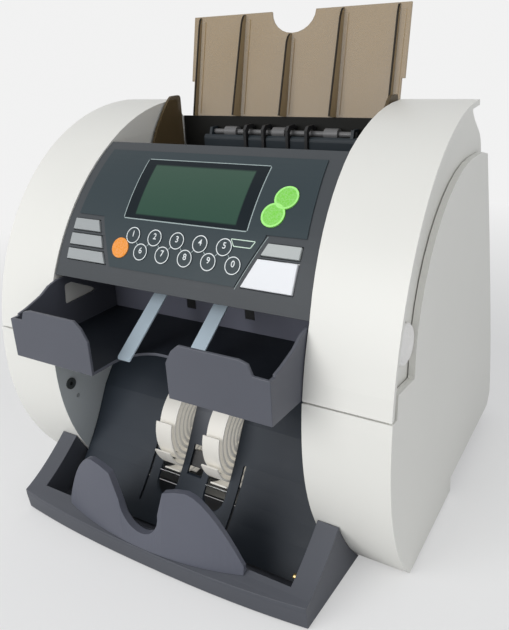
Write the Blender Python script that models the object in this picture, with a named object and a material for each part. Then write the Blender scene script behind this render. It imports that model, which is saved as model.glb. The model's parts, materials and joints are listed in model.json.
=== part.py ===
"""Two-pocket banknote sorter: hopper on top, reject pocket in the middle, stacker bay and tray below.

Metres, +Z up, +X to the operator's right, the operator stands at -Y.
The origin is at the centre of the footprint, on the surface that the machine stands on.
Outlines in the side view are lists of (y, z), outlines in the front view are lists of (x, z).
"""

import functools
import math

import bmesh
import bpy
from mathutils import Vector

# Overall size and fits
WIDTH = 0.344
DEPTH = 0.327
FRONT_Y = -DEPTH / 2
REAR_Y = DEPTH / 2
HALF_AT_BELLY = WIDTH / 2
HALF_AT_REAR = 0.1578
GAP = 0.0003
WALL = 0.0025
OVERRUN = 0.004
RUNNING_GAP = 0.00008
ROUND_SIDES = 32
SMOOTH_ANGLE = math.radians(32)
MITRE_LIMIT = 0.5

# Front profile of the covers: a belly line with one quarter oval above it and one below it
BELLY_Y = -0.1210
BELLY_Z = 0.1120
CREST_Y = 0.0510
CREST_Z = 0.3070
TOE_FALL = 0.1630
OVAL_POWER = 2.05
PROFILE_STEPS = 20
SEAM_Z = 0.1435
SEAM_GAP = 0.0012
SKIRT_Z = 0.0015

# Rear profile, one curve from the top corner to the foot
REAR_TOP = (0.0894, 0.2640)
REAR_PULL = (0.1562, 0.0859)
REAR_FOOT = (REAR_Y, 0.0250)
HEEL_SETBACK = 0.0090
REAR_HEEL = (REAR_Y - HEEL_SETBACK, 0.0140)
REAR_STEPS = 10
DECK_CORNER = (0.0858, 0.2772)
DECK_CORNER_RADIUS = 0.0090
DECK_CORNER_STEPS = 5
DECK_FRONT = (0.0630, 0.2925)
PARTING_HIGH_Z = 0.2412
PARTING_LOW_Z = 0.2372

# Upper covers
BAND_END_Y = 0.0570
BAND_STEP_Z = 0.2985
SIDE_STEP = 0.0052
LIP_SETBACK = 0.0005
LIP_ROOT = 0.0060
LIP_EDGE = 0.0018
POCKET_SIDE_X = 0.1230
INNER_HALF_LOW = 0.1123
FLARE = 0.0070
INNER_HALF_HIGH = INNER_HALF_LOW - FLARE
FLARE_LOW_Z = 0.1926
FLARE_HIGH_Z = 0.2835
HIDDEN_EDGE = ((0.0600, 0.2412), (0.0300, 0.2400), (0.0120, 0.2060), (-0.0200, 0.2060), (-0.0550, 0.1950),
               (-0.0650, 0.1441))

# Lower covers: side panel, its arch and the ledge under the channel
PANEL_THICKNESS = 0.0045
LEDGE_FOOT_Y = -0.1110
LEDGE_FRONT = (-0.1093, 0.1583)
LEDGE_REAR = (-0.0800, 0.1545)
ARCH_SPRING_Z = 0.1560
ARCH_SPRING_Y = -0.0786
ARCH_TOP = (0.0450, 0.2685)
ARCH_STEPS = 12
ARCH_SHOULDER = (0.0722, 0.2679)
NOTCH_Y = 0.0265
REAR_SILL_Z = 0.0140
BAY_WALL_END_Y = -0.0200

# Chassis
PAN_END_SETBACK = 0.0135
PAN_LINE = ((-0.0750, 0.0050), (0.0210, 0.0050), (0.0260, 0.0176), (REAR_Y - PAN_END_SETBACK, 0.0176))
PAN_THICKNESS = 0.0020
PAN_SIDE_GAP = 0.0011
PAN_FRONT_HALF = INNER_HALF_LOW - PAN_SIDE_GAP
PAN_NECK_Y = -0.0170
FOOT_RADIUS = 0.0110
FOOT_TAPER = 0.0020
FRONT_FOOT = (0.0900, -0.0600)
FOOT_INSET = 0.0298
FOOT_SETBACK = 0.0335
REAR_FOOT_PLACE = (HALF_AT_REAR - FOOT_INSET, REAR_Y - FOOT_SETBACK)
FOOT_SIDES = 24
FRAME_OFFSET = 0.0057
FRAME_X = INNER_HALF_LOW + FRAME_OFFSET
FRAME_THICKNESS = 0.0025
FRAME_SETBACK = 0.0215
FRAME_LINE = ((-0.0600, 0.0053), (0.0204, 0.0053), (0.0254, 0.0179), (REAR_Y - FRAME_SETBACK, 0.0179),
              (0.1380, 0.0850), (0.1200, 0.1500), (0.0980, 0.2000), (0.0660, 0.2050))
FRAME_FRONT = ((0.0300, 0.1980), (-0.0900, 0.1880), (-0.1040, 0.1300), (-0.1000, 0.0700))
FRAME_HOLE = ((0.0000, 0.0950), (0.0800, 0.0950), (0.0600, 0.1650), (-0.0500, 0.1650))
FRAME_HOLE_RADIUS = 0.0120
CORNER_STEPS = 5

# Hinge of the upper module
HINGE = (0.0790, 0.2550)
HINGE_PIN_RADIUS = 0.0035
HINGE_EAR_RADIUS = 0.0080
HINGE_PIN_REACH = 0.0047
HINGE_PIN_INNER = INNER_HALF_LOW - HINGE_PIN_REACH
HINGE_HEAD_RADIUS = 0.0058
HINGE_HEAD = 0.0020
EAR_STEPS = 8
EAR_FROM = math.radians(-35)
EAR_TO = math.radians(160)

# Base tray
TRAY_HALF = 0.1312
TRAY_BOW = 0.0073
TRAY_CORNER_Y = FRONT_Y + TRAY_BOW
TRAY_BOW_POWER = 2.4
TRAY_BATTER = 0.0015
TRAY_UNDER_Z = 0.0010
TRAY_TOE_Z = 0.0170
TRAY_ARM_Z = 0.0492
TRAY_ARM_LENGTH = 0.0562
TRAY_ARM_Y = FRONT_Y + TRAY_ARM_LENGTH
TRAY_SWEEP_POWER = 1.42
TRAY_SWEEP_STEPS = 18
TRAY_BOW_STEPS = 14
TRAY_RECESS_HALF = 0.1152
TRAY_RIM = 0.0160
TRAY_RECESS_Y = FRONT_Y + TRAY_RIM
TRAY_FLOOR_Z = 0.0035
TRAY_REAR_Y = -0.0760
TRAY_ARM_WALL = 0.0030

# Stack rest
REST_END = 0.0815
REST_LOBE = 0.0436
REST_HORN = 0.0246
REST_WAIST = 0.0180
REST_END_Z = 0.0270
REST_LOBE_Z = 0.0766
REST_HORN_Z = 0.0720
REST_WAIST_Z = 0.0520
REST_NOTCH_Z = 0.0300
REST_LOBE_POWER = 1.7
REST_WING_STEPS = 7
REST_NOTCH_STEPS = 7
REST_SETBACK = 0.0003
REST_END_SETBACK = 0.0109
REST_FOOT_SETBACK = 0.0157
REST_CENTRE_Y = FRONT_Y + REST_SETBACK
REST_END_Y = FRONT_Y + REST_END_SETBACK
REST_FOOT_Y = FRONT_Y + REST_FOOT_SETBACK
REST_TOP_THICKNESS = 0.0055
REST_EDGE_THICKNESS = 0.0030
REST_LEAN = 0.0012
REST_SCOOP_SHARE = 0.38

# Stacker bay
BAY_SIDE_GAP = 0.0009
BAY_HALF = INNER_HALF_LOW - BAY_SIDE_GAP
PLATE_THICKNESS = 0.0020
BAY_LINE = ((-0.0350, 0.1230), (-0.0620, 0.0920), (-0.0710, 0.0810), (-0.0790, 0.0665), (-0.0860, 0.0540),
            (-0.0930, 0.0435), (-0.1010, 0.0330), (-0.1110, 0.0215), (-0.1215, 0.0110), (-0.1276, 0.0053))
WHEEL_X = 0.0225
WHEEL_SLOT_WIDTH = 0.0196
WHEEL_SLOT_LOW_Z = 0.0215
WHEEL_SLOT_HIGH_Z = 0.1190
SLIT_X = 0.0418
SLIT_WIDTH = 0.0022
SLIT_LOW_Z = 0.0145
SLIT_HIGH_Z = 0.0540
EYE_WINDOW_WIDTH = 0.0140
EYE_WINDOW_LOW_Z = 0.0380
EYE_WINDOW_HIGH_Z = 0.0580
STACK_EYE_WIDTH = 0.0190
STACK_EYE_DEPTH = 0.0080
STACK_EYE_STRETCH = slice(4, 6)

# Stacker wheels and their drive
WHEEL = (-0.0670, 0.0610)
WHEEL_RADIUS = 0.0385
WHEEL_WIDTH = 0.0150
WHEEL_HUB = 0.0115
WHEEL_VANES = 13
VANE_POINTS = 8
VANE_SWEEP = math.radians(-95)
VANE_ROOT_ANGLE = math.radians(10)
VANE_TIP_ANGLE = math.radians(1.1)
VANE_TAPER_POWER = 0.5
VANE_CURL_POWER = 1.3
SHAFT_RADIUS = 0.0040
SHAFT_CLEARANCE = 0.0010
SHAFT_END_RIGHT = 0.0065
SHAFT_END_LEFT = 0.0165
SHAFT_RIGHT = FRAME_X + SHAFT_END_RIGHT
SHAFT_LEFT = FRAME_X + SHAFT_END_LEFT
COLLAR_RADIUS = 0.0085
COLLAR = 0.0025
BELT_OFFSET = 0.0110
BELT_X = FRAME_X + BELT_OFFSET
BELT_WIDTH = 0.0060
BELT_THICKNESS = 0.0014
BELT_STEPS = 16
PULLEY_FLANGE = 0.0024
PULLEY_FLANGE_WIDTH = 0.0010
STACKER_PULLEY_RADIUS = 0.0180
MOTOR_PULLEY_RADIUS = 0.0120
MOTOR = (0.0500, 0.0560)
MOTOR_RADIUS = 0.0230
MOTOR_LENGTH = 0.0500
MOTOR_SPIGOT = 0.0070
MOTOR_SHAFT_RADIUS = 0.0025

# Reject pocket
POCKET_SIDE_GAP = 0.0007
POCKET_HALF = INNER_HALF_LOW - POCKET_SIDE_GAP
POCKET_FRONT_Y = -0.1534
POCKET_REAR_Y = -0.0464
POCKET_UNDER_Z = 0.1437
POCKET_SHEET = 0.0024
POCKET_SIDE_LINE = ((-0.1534, 0.1740), (-0.1393, 0.1770), (-0.1247, 0.1817), (-0.1157, 0.1868),
                    (-0.1075, 0.1890))
POCKET_CUT = ((-0.1017, 0.1664), (-0.0645, 0.1674), (-0.0930, 0.1826), (-0.1000, 0.1826))
POCKET_CUT_RADIUS = 0.0020
POCKET_CREST = ((0.0340, 0.1690), (0.0390, 0.1780), (0.0450, 0.1831), (0.0900, 0.1831), (0.0965, 0.1813),
                (0.0995, 0.1742), (0.1120, 0.1738))
POCKET_CREST_Z = 0.1831
POCKET_STEP_Z = 0.1745
POCKET_NOTCH_HALF = 0.0340
POCKET_NOTCH_Y = -0.1075
POCKET_NOTCH_RADIUS = 0.0240
POCKET_NOTCH_STEPS = 7
BACK_WALL_Y = -0.0460
BACK_WALL_SIDE_GAP = 0.0013
BACK_WALL_HALF = INNER_HALF_LOW - BACK_WALL_SIDE_GAP
BACK_WALL_TOP_Z = 0.2032
EYE_X = 0.0277
EYE_Z = 0.1605
EYE_SIZE = 0.0080
EYE_DEPTH = 0.0020
EYE_BORDER = 0.0020
STRIP_X = 0.0275
STRIP_WIDTH = 0.0120
STRIP_THICKNESS = 0.0012
STRIP_LINE = ((-0.0400, 0.2064), (-0.0450, 0.2056), (-0.0830, 0.1800), (-0.1290, 0.1472))
STRIP_CORNER = 0.0022
STRIP_TIP_STEPS = 4

# Control panel
BEZEL_INSET = 0.0010
BEZEL_TOP_Z = 0.2835
BEZEL_STEPS = 14
BEZEL_SIDE_GAP = 0.0005
BEZEL_LIP = 0.0070
SURFACE_SAMPLES = 60
MEMBRANE_THICKNESS = 0.0004
MEMBRANE_STATIONS = ((0.0131, -0.0566, 0.0537), (0.0470, -0.0724, 0.0687), (0.0500, -0.0734, 0.0692),
                     (0.0503, -0.0995, 0.0990), (0.0800, -0.0975, 0.0965), (0.1098, -0.0958, 0.0936))
STATION_STEP = 0.0050
DISPLAY_HALF = 0.0536
DISPLAY_LOW_S = 0.0512
DISPLAY_HIGH_S = 0.1012
DISPLAY_PROUD = 0.0010
SCREEN_HALF = 0.0450
SCREEN_LOW_S = 0.0545
SCREEN_HIGH_S = 0.0982
SCREEN_DEPTH = 0.0060
SCREEN_SINK = 0.0004
KEY_CLEARANCE = 0.0005
KEY_PROUD = 0.0014
KEY_DEPTH = 0.0060
LEFT_KEY_MARGIN = 0.0115
LEFT_KEY_EDGE = LEFT_KEY_MARGIN - INNER_HALF_LOW
LEFT_KEYS = ((0.0374, 0.0462, -0.0727, -0.0771), (0.0256, 0.0344, -0.0669, -0.0707),
             (0.0142, 0.0226, -0.0618, -0.0660))
RIGHT_KEY_MARGIN = 0.0149
RIGHT_KEY_EDGE = INNER_HALF_LOW - RIGHT_KEY_MARGIN
RIGHT_KEYS = ((0.0362, 0.0446, 0.0691, 0.0727), (0.0138, 0.0337, 0.0587, 0.0677))
DOME_THICKNESS = 0.0010
DOME_SIDES = 24
NUMBER_RADIUS = 0.0062
NUMBER_ROWS = ((0.0382, -0.0400, 0.0200), (0.0268, -0.0300, 0.0200))
NUMBER_COUNT = 5
MENU_PLACE = (-0.0496, 0.0279)
MENU_RADIUS = 0.0076
ROUND_PLACES = ((0.0755, 0.0772), (0.0699, 0.0639))
ROUND_RADIUS = 0.0088

# Hopper
HOPPER_SIDE_GAP = 0.0011
HOPPER_HALF = INNER_HALF_HIGH - HOPPER_SIDE_GAP
HOPPER_LINE = ((-0.0286, 0.2790), (-0.0240, 0.2270), (0.0482, 0.2415))
HOPPER_SHEET = 0.0020
REAR_WALL_HALF = 0.0730
REAR_WALL_Y = 0.0490
REAR_WALL_SHEET = 0.0018
REAR_WALL_LOW_Z = 0.2445
REAR_WALL_TOP_Z = 0.2785
REAR_WALL_ROLL = 0.0040
REAR_WALL_TURN = math.radians(110)
REAR_WALL_STEPS = 4
FINGER_PLACES = (-0.0291, -0.0115, 0.0115, 0.0291)
FINGER_WIDTH = 0.0024
FINGER_SLOT_LOW_Z = 0.2486
FINGER_SLOT_WIDTH = 0.0036
FINGER_LINE = ((0.0468, 0.2490), (0.0468, 0.2835), (0.0500, 0.2868), (0.0590, 0.2868), (0.0624, 0.2845),
               (0.0624, 0.2820), (0.0590, 0.2838), (0.0530, 0.2838), (0.0510, 0.2810), (0.0510, 0.2700),
               (0.0527, 0.2660), (0.0527, 0.2490))
FINGER_BAR = ((0.0512, 0.2490), (0.0527, 0.2490), (0.0527, 0.2550), (0.0512, 0.2550))
FINGER_BAR_HALF = 0.0303
PICKUP = (0.0570, 0.2800)
PICKUP_ROLLER_RADIUS = 0.0046
PICKUP_SHAFT_RADIUS = 0.0022
PICKUP_ROLLER_WIDTH = 0.0120
PICKUP_PLACES = (-0.0480, 0.0000, 0.0480)
PICKUP_EAR_X = 0.0660
PICKUP_EAR = ((0.0496, 0.2640), (0.0610, 0.2640), (0.0610, 0.2840), (0.0530, 0.2840), (0.0496, 0.2740))
PICKUP_EAR_THICKNESS = 0.0025
FEED = (-0.0050, 0.2168)
FEED_SHAFT_RADIUS = 0.0040
FEED_END_GAP = 0.0001
FEED_SHAFT_HALF = INNER_HALF_LOW - FEED_END_GAP
FEED_ROLLER_RADIUS = 0.0150
FEED_ROLLER_WIDTH = 0.0160
FEED_ROLLER_X = 0.0280
FEED_SLOT_MARGIN = 0.0016
FEED_SLOT_HALF = 0.0130
RAIL = (0.0565, 0.2575)
RAIL_RADIUS = 0.0025
RAIL_INSERT = 0.0032
RAIL_HALF = INNER_HALF_HIGH + RAIL_INSERT
GUIDE_INSET = 0.0035
GUIDE_X = INNER_HALF_HIGH - GUIDE_INSET
GUIDE_THICKNESS = 0.0024
GUIDE_LINE = ((0.0140, 0.2540), (0.0125, 0.2720), (0.0200, 0.2860), (0.0300, 0.2985), (0.0385, 0.3080),
              (0.0430, 0.3110), (0.0555, 0.3110), (0.0555, 0.2650))
GUIDE_CORNER = 0.0035
BOSS_RADIUS = 0.0048
BOSS_LENGTH = 0.0080

# Note plate
PLATE_TOP = (0.0862, 0.3739)
PLATE_LEAN = math.radians(12.5)
PLATE_FOOT_Z = 0.2898
PLATE_INSET = 0.0048
PLATE_HALF = INNER_HALF_HIGH - PLATE_INSET
PLATE_SHOULDER = 0.0026
PLATE_SHOULDER_Z = 0.3206
NOTE_PLATE_SHEET = 0.0020
PLATE_NOTCH_HALF = 0.0205
PLATE_NOTCH_DEPTH = 0.0174
PLATE_NOTCH_STEPS = 12
PLATE_NOTCH_LIP = 0.0030
RIB_PLACES = (-0.0935, -0.0465, -0.0020, 0.0450, 0.0925)
RIB_TOP_HALF = 0.0034
RIB_FOOT_HALF = 0.0024
RIB_HEIGHT = 0.0018
RIB_END_GAP = 0.0040

# Latch buttons
LATCH = (-0.0895, 0.1815)
LATCH_RADIUS = 0.0132
LATCH_CLEARANCE = 0.0004
LATCH_OVERCUT = 0.0015
LATCH_PROUD = 0.0030
LATCH_DEPTH = 0.0090
LATCH_EDGE = 0.0010
LATCH_DISH = 0.0022
LATCH_DISH_RADIUS = 0.0105

# Rear fittings
VENT_COUNT = 10
VENT_PITCH = 0.0080
VENT_WIDTH = 0.0038
VENT_LENGTH = 0.0900
VENT_Z = 0.1330
VENT_CORNER = 0.0016
INLET_X = -0.1040
INLET_Z = 0.0620
INLET_WIDTH = 0.0270
INLET_HEIGHT = 0.0190
INLET_BORDER = 0.0050
INLET_FLANGE = 0.0018
INLET_DEPTH = 0.0200
INLET_WELL = 0.0150
INLET_WALL = 0.0020
BLADE_WIDTH = 0.0020
BLADE_HEIGHT = 0.0040
BLADE_LENGTH = 0.0110
BLADE_X = 0.0070
SWITCH_X = -0.0680
SWITCH_HALF_WIDTH = 0.0062
SWITCH_HALF_HEIGHT = 0.0092
SWITCH_DEPTH = 0.0060
SWITCH_BULGE = 0.0020
SOCKET = (-0.1085, 0.0988)
SOCKET_RADIUS = 0.0048
SOCKET_SHANK = 0.0032
SOCKET_PROUD = 0.0014


def clear_scene():
    """Remove whatever the file holds."""
    for item in list(bpy.data.objects):
        bpy.data.objects.remove(item)


def make_material(name, colour, roughness, metallic=0.0):
    """Principled material in one colour."""
    made = bpy.data.materials.new(name)
    made.use_nodes = True
    shader = made.node_tree.nodes["Principled BSDF"]
    shader.inputs["Base Color"].default_value = (*colour, 1.0)
    shader.inputs["Roughness"].default_value = roughness
    shader.inputs["Metallic"].default_value = metallic
    return made


def mesh_object(name, verts, faces, material=None, origin=(0, 0, 0)):
    """Mesh in world places around an origin, with outward faces and smooth round stretches."""
    mesh = bpy.data.meshes.new(name)
    mesh.from_pydata([Vector(vert) - Vector(origin) for vert in verts], [], faces)
    shape = bmesh.new()
    shape.from_mesh(mesh)
    bmesh.ops.recalc_face_normals(shape, faces=shape.faces)
    shape.to_mesh(mesh)
    shape.free()
    mesh.shade_smooth()
    mesh.set_sharp_from_angle(angle=SMOOTH_ANGLE)
    made = bpy.data.objects.new(name, mesh)
    made.location = origin
    bpy.context.scene.collection.objects.link(made)
    if material:
        mesh.materials.append(material)
    return made


def skin(name, rings, material=None, origin=(0, 0, 0), looped=False):
    """Solid through closed rings of equal count, capped at both ends or closed on itself."""
    size = len(rings[0])
    count = len(rings)
    verts = [point for ring in rings for point in ring]
    faces = []
    for row in range(count if looped else count - 1):
        here = row * size
        there = (row + 1) % count * size
        for column in range(size):
            beside_it = (column + 1) % size
            faces.append((here + column, here + beside_it, there + beside_it, there + column))
    if not looped:
        faces.append(tuple(reversed(range(size))))
        faces.append(tuple(range((count - 1) * size, count * size)))
    return mesh_object(name, verts, faces, material, origin)


def bound(limit, point):
    """A limit of a sweep: a number, or a function of the outline's point."""
    return limit(point) if callable(limit) else limit


def prism_x(name, outline, low, high, material=None, origin=(0, 0, 0)):
    """Side-view outline swept from one x to another."""
    rings = [[(bound(limit, p), p[0], p[1]) for p in outline] for limit in (low, high)]
    return skin(name, rings, material, origin)


def prism_y(name, outline, low, high, material=None, origin=(0, 0, 0)):
    """Front-view outline swept from one y to another."""
    rings = [[(p[0], bound(limit, p), p[1]) for p in outline] for limit in (low, high)]
    return skin(name, rings, material, origin)


def prism_z(name, outline, low, high, material=None, origin=(0, 0, 0)):
    """Plan outline swept from one height to another."""
    rings = [[(p[0], p[1], bound(limit, p)) for p in outline] for limit in (low, high)]
    return skin(name, rings, material, origin)


def lathe_x(name, profile, centre, material=None, origin=(0, 0, 0), hollow=False, sides=ROUND_SIDES):
    """Profile of (x, radius) turned about an axis along X through a side-view centre."""
    rings = []
    for x, radius in profile:
        rings.append([(x, centre[0] + y, centre[1] + z) for y, z in circle(radius, sides)])
    return skin(name, rings, material, origin, hollow)


def circle(radius, sides=ROUND_SIDES):
    """Corners of a regular polygon about zero."""
    turns = [math.tau * step / sides for step in range(sides)]
    return [(radius * math.cos(turn), radius * math.sin(turn)) for turn in turns]


def arc(centre, radius, start, end, steps):
    """Points along a circular arc."""
    turns = [start + (end - start) * step / steps for step in range(steps + 1)]
    return [(centre[0] + radius * math.cos(turn), centre[1] + radius * math.sin(turn)) for turn in turns]


def box(low_corner, high_corner):
    """Outline of an upright rectangle."""
    return [low_corner, (high_corner[0], low_corner[1]), high_corner, (low_corner[0], high_corner[1])]


def bend(start, corner, end, steps):
    """Points of a smooth corner between two ends."""
    points = []
    for step in range(steps + 1):
        share = step / steps
        point = start * (1 - share) ** 2 + corner * 2 * share * (1 - share) + end * share ** 2
        points.append(tuple(point))
    return points


def rounded(outline, radius, steps=CORNER_STEPS):
    """Closed outline with every corner rounded, as far as its edges allow."""
    made = []
    count = len(outline)
    for place in range(count):
        corner = Vector(outline[place])
        before = Vector(outline[place - 1]) - corner
        after = Vector(outline[(place + 1) % count]) - corner
        reach = radius / math.tan(before.angle(after) / 2)
        start = corner + before.normalized() * min(reach, before.length / 2 - GAP)
        end = corner + after.normalized() * min(reach, after.length / 2 - GAP)
        made += bend(start, corner, end, steps)
    return made


def offset_line(line, distance):
    """Open line moved to its right-hand side by a distance, with mitred corners."""
    points = [Vector(point) for point in line]
    ways = [(b - a).normalized() for a, b in zip(points, points[1:])]
    moved = []
    for place, point in enumerate(points):
        first = ways[max(place - 1, 0)]
        second = ways[min(place, len(ways) - 1)]
        side = Vector((first.y + second.y, -first.x - second.x)).normalized()
        stretch = max(side.dot(Vector((second.y, -second.x))), MITRE_LIMIT)
        moved.append(tuple(point + side * distance / stretch))
    return moved


def strip(line, thickness):
    """Closed outline of a sheet that lies to the right of a line."""
    return list(line) + list(reversed(offset_line(line, thickness)))


def combine(target, tool, operation):
    """Boolean on a target with a tool that is hidden."""
    change = target.modifiers.new(operation.title(), "BOOLEAN")
    change.operation = operation
    change.solver = "EXACT"
    change.object = tool
    tool.hide_render = True
    tool.display_type = "WIRE"


def cut(target, *tools):
    """Take tools out of a target."""
    for tool in tools:
        combine(target, tool, "DIFFERENCE")


def join(target, *tools):
    """Fuse tools with a target."""
    for tool in tools:
        combine(target, tool, "UNION")


def hold(parent, *children):
    """Hang pieces that stand in world places on an empty."""
    for child in children:
        child.location = child.location - parent.location
        child.parent = parent


def pivot(name, place):
    """Empty at a world place."""
    made = bpy.data.objects.new(name, None)
    made.location = place
    bpy.context.scene.collection.objects.link(made)
    return made


def oval_rise(z, inset):
    """Height of the quarter oval that holds a level of the front profile."""
    return (CREST_Z - BELLY_Z if z > BELLY_Z else TOE_FALL) - inset


def profile_point(turn, inset):
    """Point of the front profile at a turn from the belly line, moved inwards."""
    rise = (CREST_Z - BELLY_Z if turn > 0 else TOE_FALL) - inset
    y = CREST_Y - (CREST_Y - BELLY_Y - inset) * math.cos(turn) ** (2 / OVAL_POWER)
    z = BELLY_Z + math.copysign(rise * abs(math.sin(turn)) ** (2 / OVAL_POWER), turn)
    return y, z


def profile_turn(z, inset):
    """Turn at which the front profile reaches a level."""
    share = min(abs(z - BELLY_Z) / oval_rise(z, inset), 1.0)
    return math.copysign(math.asin(share ** (OVAL_POWER / 2)), z - BELLY_Z)


def profile_line(low_z, high_z, inset=0, steps=PROFILE_STEPS):
    """Front profile of the covers from one level to another."""
    start, end = profile_turn(low_z, inset), profile_turn(high_z, inset)
    return [profile_point(start + (end - start) * step / steps, inset) for step in range(steps + 1)]


def rear_point(share):
    """Point of the rear profile, from its top at 0 to its foot at 1."""
    weights = ((1 - share) ** 2, 2 * share * (1 - share), share ** 2)
    ends = (REAR_TOP, REAR_PULL, REAR_FOOT)
    return tuple(sum(weight * end[axis] for weight, end in zip(weights, ends)) for axis in (0, 1))


def rear_share(z):
    """Share of the rear profile at which it reaches a level."""
    top, pull, foot = REAR_TOP[1] - z, REAR_PULL[1] - z, REAR_FOOT[1] - z
    square = top - 2 * pull + foot
    return (top - pull - math.sqrt(pull ** 2 - top * foot)) / square


def rear_line(high_z, low_z, steps=REAR_STEPS):
    """Rear profile down from one level to another."""
    start, end = rear_share(high_z), rear_share(low_z)
    return [rear_point(start + (end - start) * step / steps) for step in range(steps + 1)]


def outer_half(y):
    """Half width of the side panels at a depth: the body narrows to the rear."""
    share = (y - BELLY_Y) / (REAR_Y - BELLY_Y)
    return HALF_AT_BELLY + (HALF_AT_REAR - HALF_AT_BELLY) * share


def beside(side, setback):
    """Sweep limit that keeps a setback inside the tapered side panel."""
    return lambda point: side * (outer_half(point[0]) - setback)


def deck_line():
    """Top and rear of the upper module: deck, rounded corner and rear face."""
    corner = Vector(DECK_CORNER)
    back = (Vector(DECK_FRONT) - corner).normalized()
    down = (Vector(REAR_TOP) - corner).normalized()
    turn = bend(corner + back * DECK_CORNER_RADIUS, corner, corner + down * DECK_CORNER_RADIUS,
                DECK_CORNER_STEPS)
    return [DECK_FRONT] + turn + rear_line(REAR_TOP[1], PARTING_HIGH_Z, 3)


def tray_sweep(y):
    """Top of the tray: it rises ever faster from the toe to the covers."""
    share = max((y - FRONT_Y) / (TRAY_ARM_Y - FRONT_Y), 0)
    return TRAY_TOE_Z + (TRAY_ARM_Z - TRAY_TOE_Z) * share ** TRAY_SWEEP_POWER


def inner_half(z):
    """Half width of the control panel's bay at a level."""
    share = min(max((z - FLARE_LOW_Z) / (FLARE_HIGH_Z - FLARE_LOW_Z), 0), 1)
    return INNER_HALF_LOW + (INNER_HALF_HIGH - INNER_HALF_LOW) * share


def hollow_half(z):
    """Inner side of the hollow in the upper covers, in one plane."""
    share = (z - FLARE_LOW_Z) / (FLARE_HIGH_Z - FLARE_LOW_Z)
    return INNER_HALF_LOW + WALL + (INNER_HALF_HIGH - INNER_HALF_LOW) * share


def bay_cutter(name, side, clearance, outside):
    """Wedge that follows the flare of the control panel's bay, on one side of it or the other."""
    low_z, high_z = SEAM_Z - OVERRUN, CREST_Z + OVERRUN
    edge = [(side * (inner_half(z) - clearance), z) for z in (low_z, FLARE_LOW_Z, FLARE_HIGH_Z, high_z)]
    far = side * (HALF_AT_BELLY if outside else INNER_HALF_HIGH - WALL - OVERRUN)
    return prism_y(name, edge + [(far, high_z), (far, low_z)], FRONT_Y - OVERRUN, REAR_Y + OVERRUN)


def channel_cutter(name, side):
    """Space behind the overhanging band: the lip's underside is coved from root to edge."""
    foot, past = SEAM_Z - OVERRUN, REAR_Y + OVERRUN
    end = BAND_END_Y - SEAM_GAP
    rings = []
    for inset, setback in ((LIP_ROOT, SIDE_STEP), (LIP_EDGE, -OVERRUN)):
        edge = profile_line(foot, CREST_Z - inset, inset) + [(end, CREST_Z - inset)]
        around = [(end, CREST_Z + OVERRUN), (past, CREST_Z + OVERRUN), (past, foot)]
        rings.append([(beside(side, setback)(point), *point) for point in edge + around])
    return skin(name, rings)


def upper_cover(name, side, material):
    """White side cover of the upper module: a shell whose front band overhangs a channel."""
    front = profile_line(SEAM_Z + SEAM_GAP / 2, CREST_Z)
    rear = deck_line()
    outline = front + [(BAND_END_Y, CREST_Z), (BAND_END_Y, BAND_STEP_Z)] + rear + list(HIDDEN_EDGE)
    cover = prism_x(name, outline, side * (INNER_HALF_HIGH - OVERRUN), beside(side, LIP_SETBACK), material)

    foot = SEAM_Z - OVERRUN
    shell = profile_line(SEAM_Z, CREST_Z, WALL) + [(BAND_END_Y - WALL, CREST_Z - WALL),
                                                   (BAND_END_Y - WALL, BAND_STEP_Z - WALL)]
    back = offset_line(rear, WALL)[1:]
    open_z = PARTING_HIGH_Z - OVERRUN
    below = [(back[-1][0], open_z), (CREST_Y, open_z), (CREST_Y, foot)]
    hollow = prism_x(name + "_hollow", [(shell[0][0], foot)] + shell + back + below,
                     lambda point: side * hollow_half(point[1]), beside(side, SIDE_STEP + WALL))
    low = [point for point in shell if point[1] < FLARE_LOW_Z + OVERRUN]
    slab_outline = [(shell[0][0], foot)] + low + [(CREST_Y, low[-1][1]), (CREST_Y, foot)]
    slab = prism_x(name + "_slab", slab_outline, side * (INNER_HALF_LOW + WALL), side * POCKET_SIDE_X)
    plane = outer_half(LATCH[0]) - SIDE_STEP
    radius = LATCH_RADIUS + LATCH_CLEARANCE
    latch_hole = lathe_x(name + "_latch_hole", [(side * (plane - WALL - OVERRUN), radius),
                                                (side * (plane + LATCH_OVERCUT), radius)], LATCH)
    cut(cover, bay_cutter(name + "_flare", side, 0, False), channel_cutter(name + "_channel", side), hollow,
        slab, latch_hole)
    for label, centre, bore_radius in (("hinge", HINGE, HINGE_PIN_RADIUS + RUNNING_GAP),
                                       ("feed", FEED, FEED_SHAFT_RADIUS + RUNNING_GAP),
                                       ("rail", RAIL, RAIL_RADIUS + GAP)):
        cut(cover, lathe_x(name + "_bore_" + label, [(side * (INNER_HALF_HIGH - OVERRUN), bore_radius),
                                                     (side * (FRAME_X - GAP), bore_radius)], centre))
    return cover


def arch_line():
    """Edge of the side panel over the channel, a quarter oval."""
    points = []
    for step in range(ARCH_STEPS + 1):
        turn = math.pi / 2 * step / ARCH_STEPS
        y = ARCH_TOP[0] - (ARCH_TOP[0] - ARCH_SPRING_Y) * math.cos(turn)
        points.append((y, ARCH_SPRING_Z + (ARCH_TOP[1] - ARCH_SPRING_Z) * math.sin(turn)))
    return points


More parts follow.
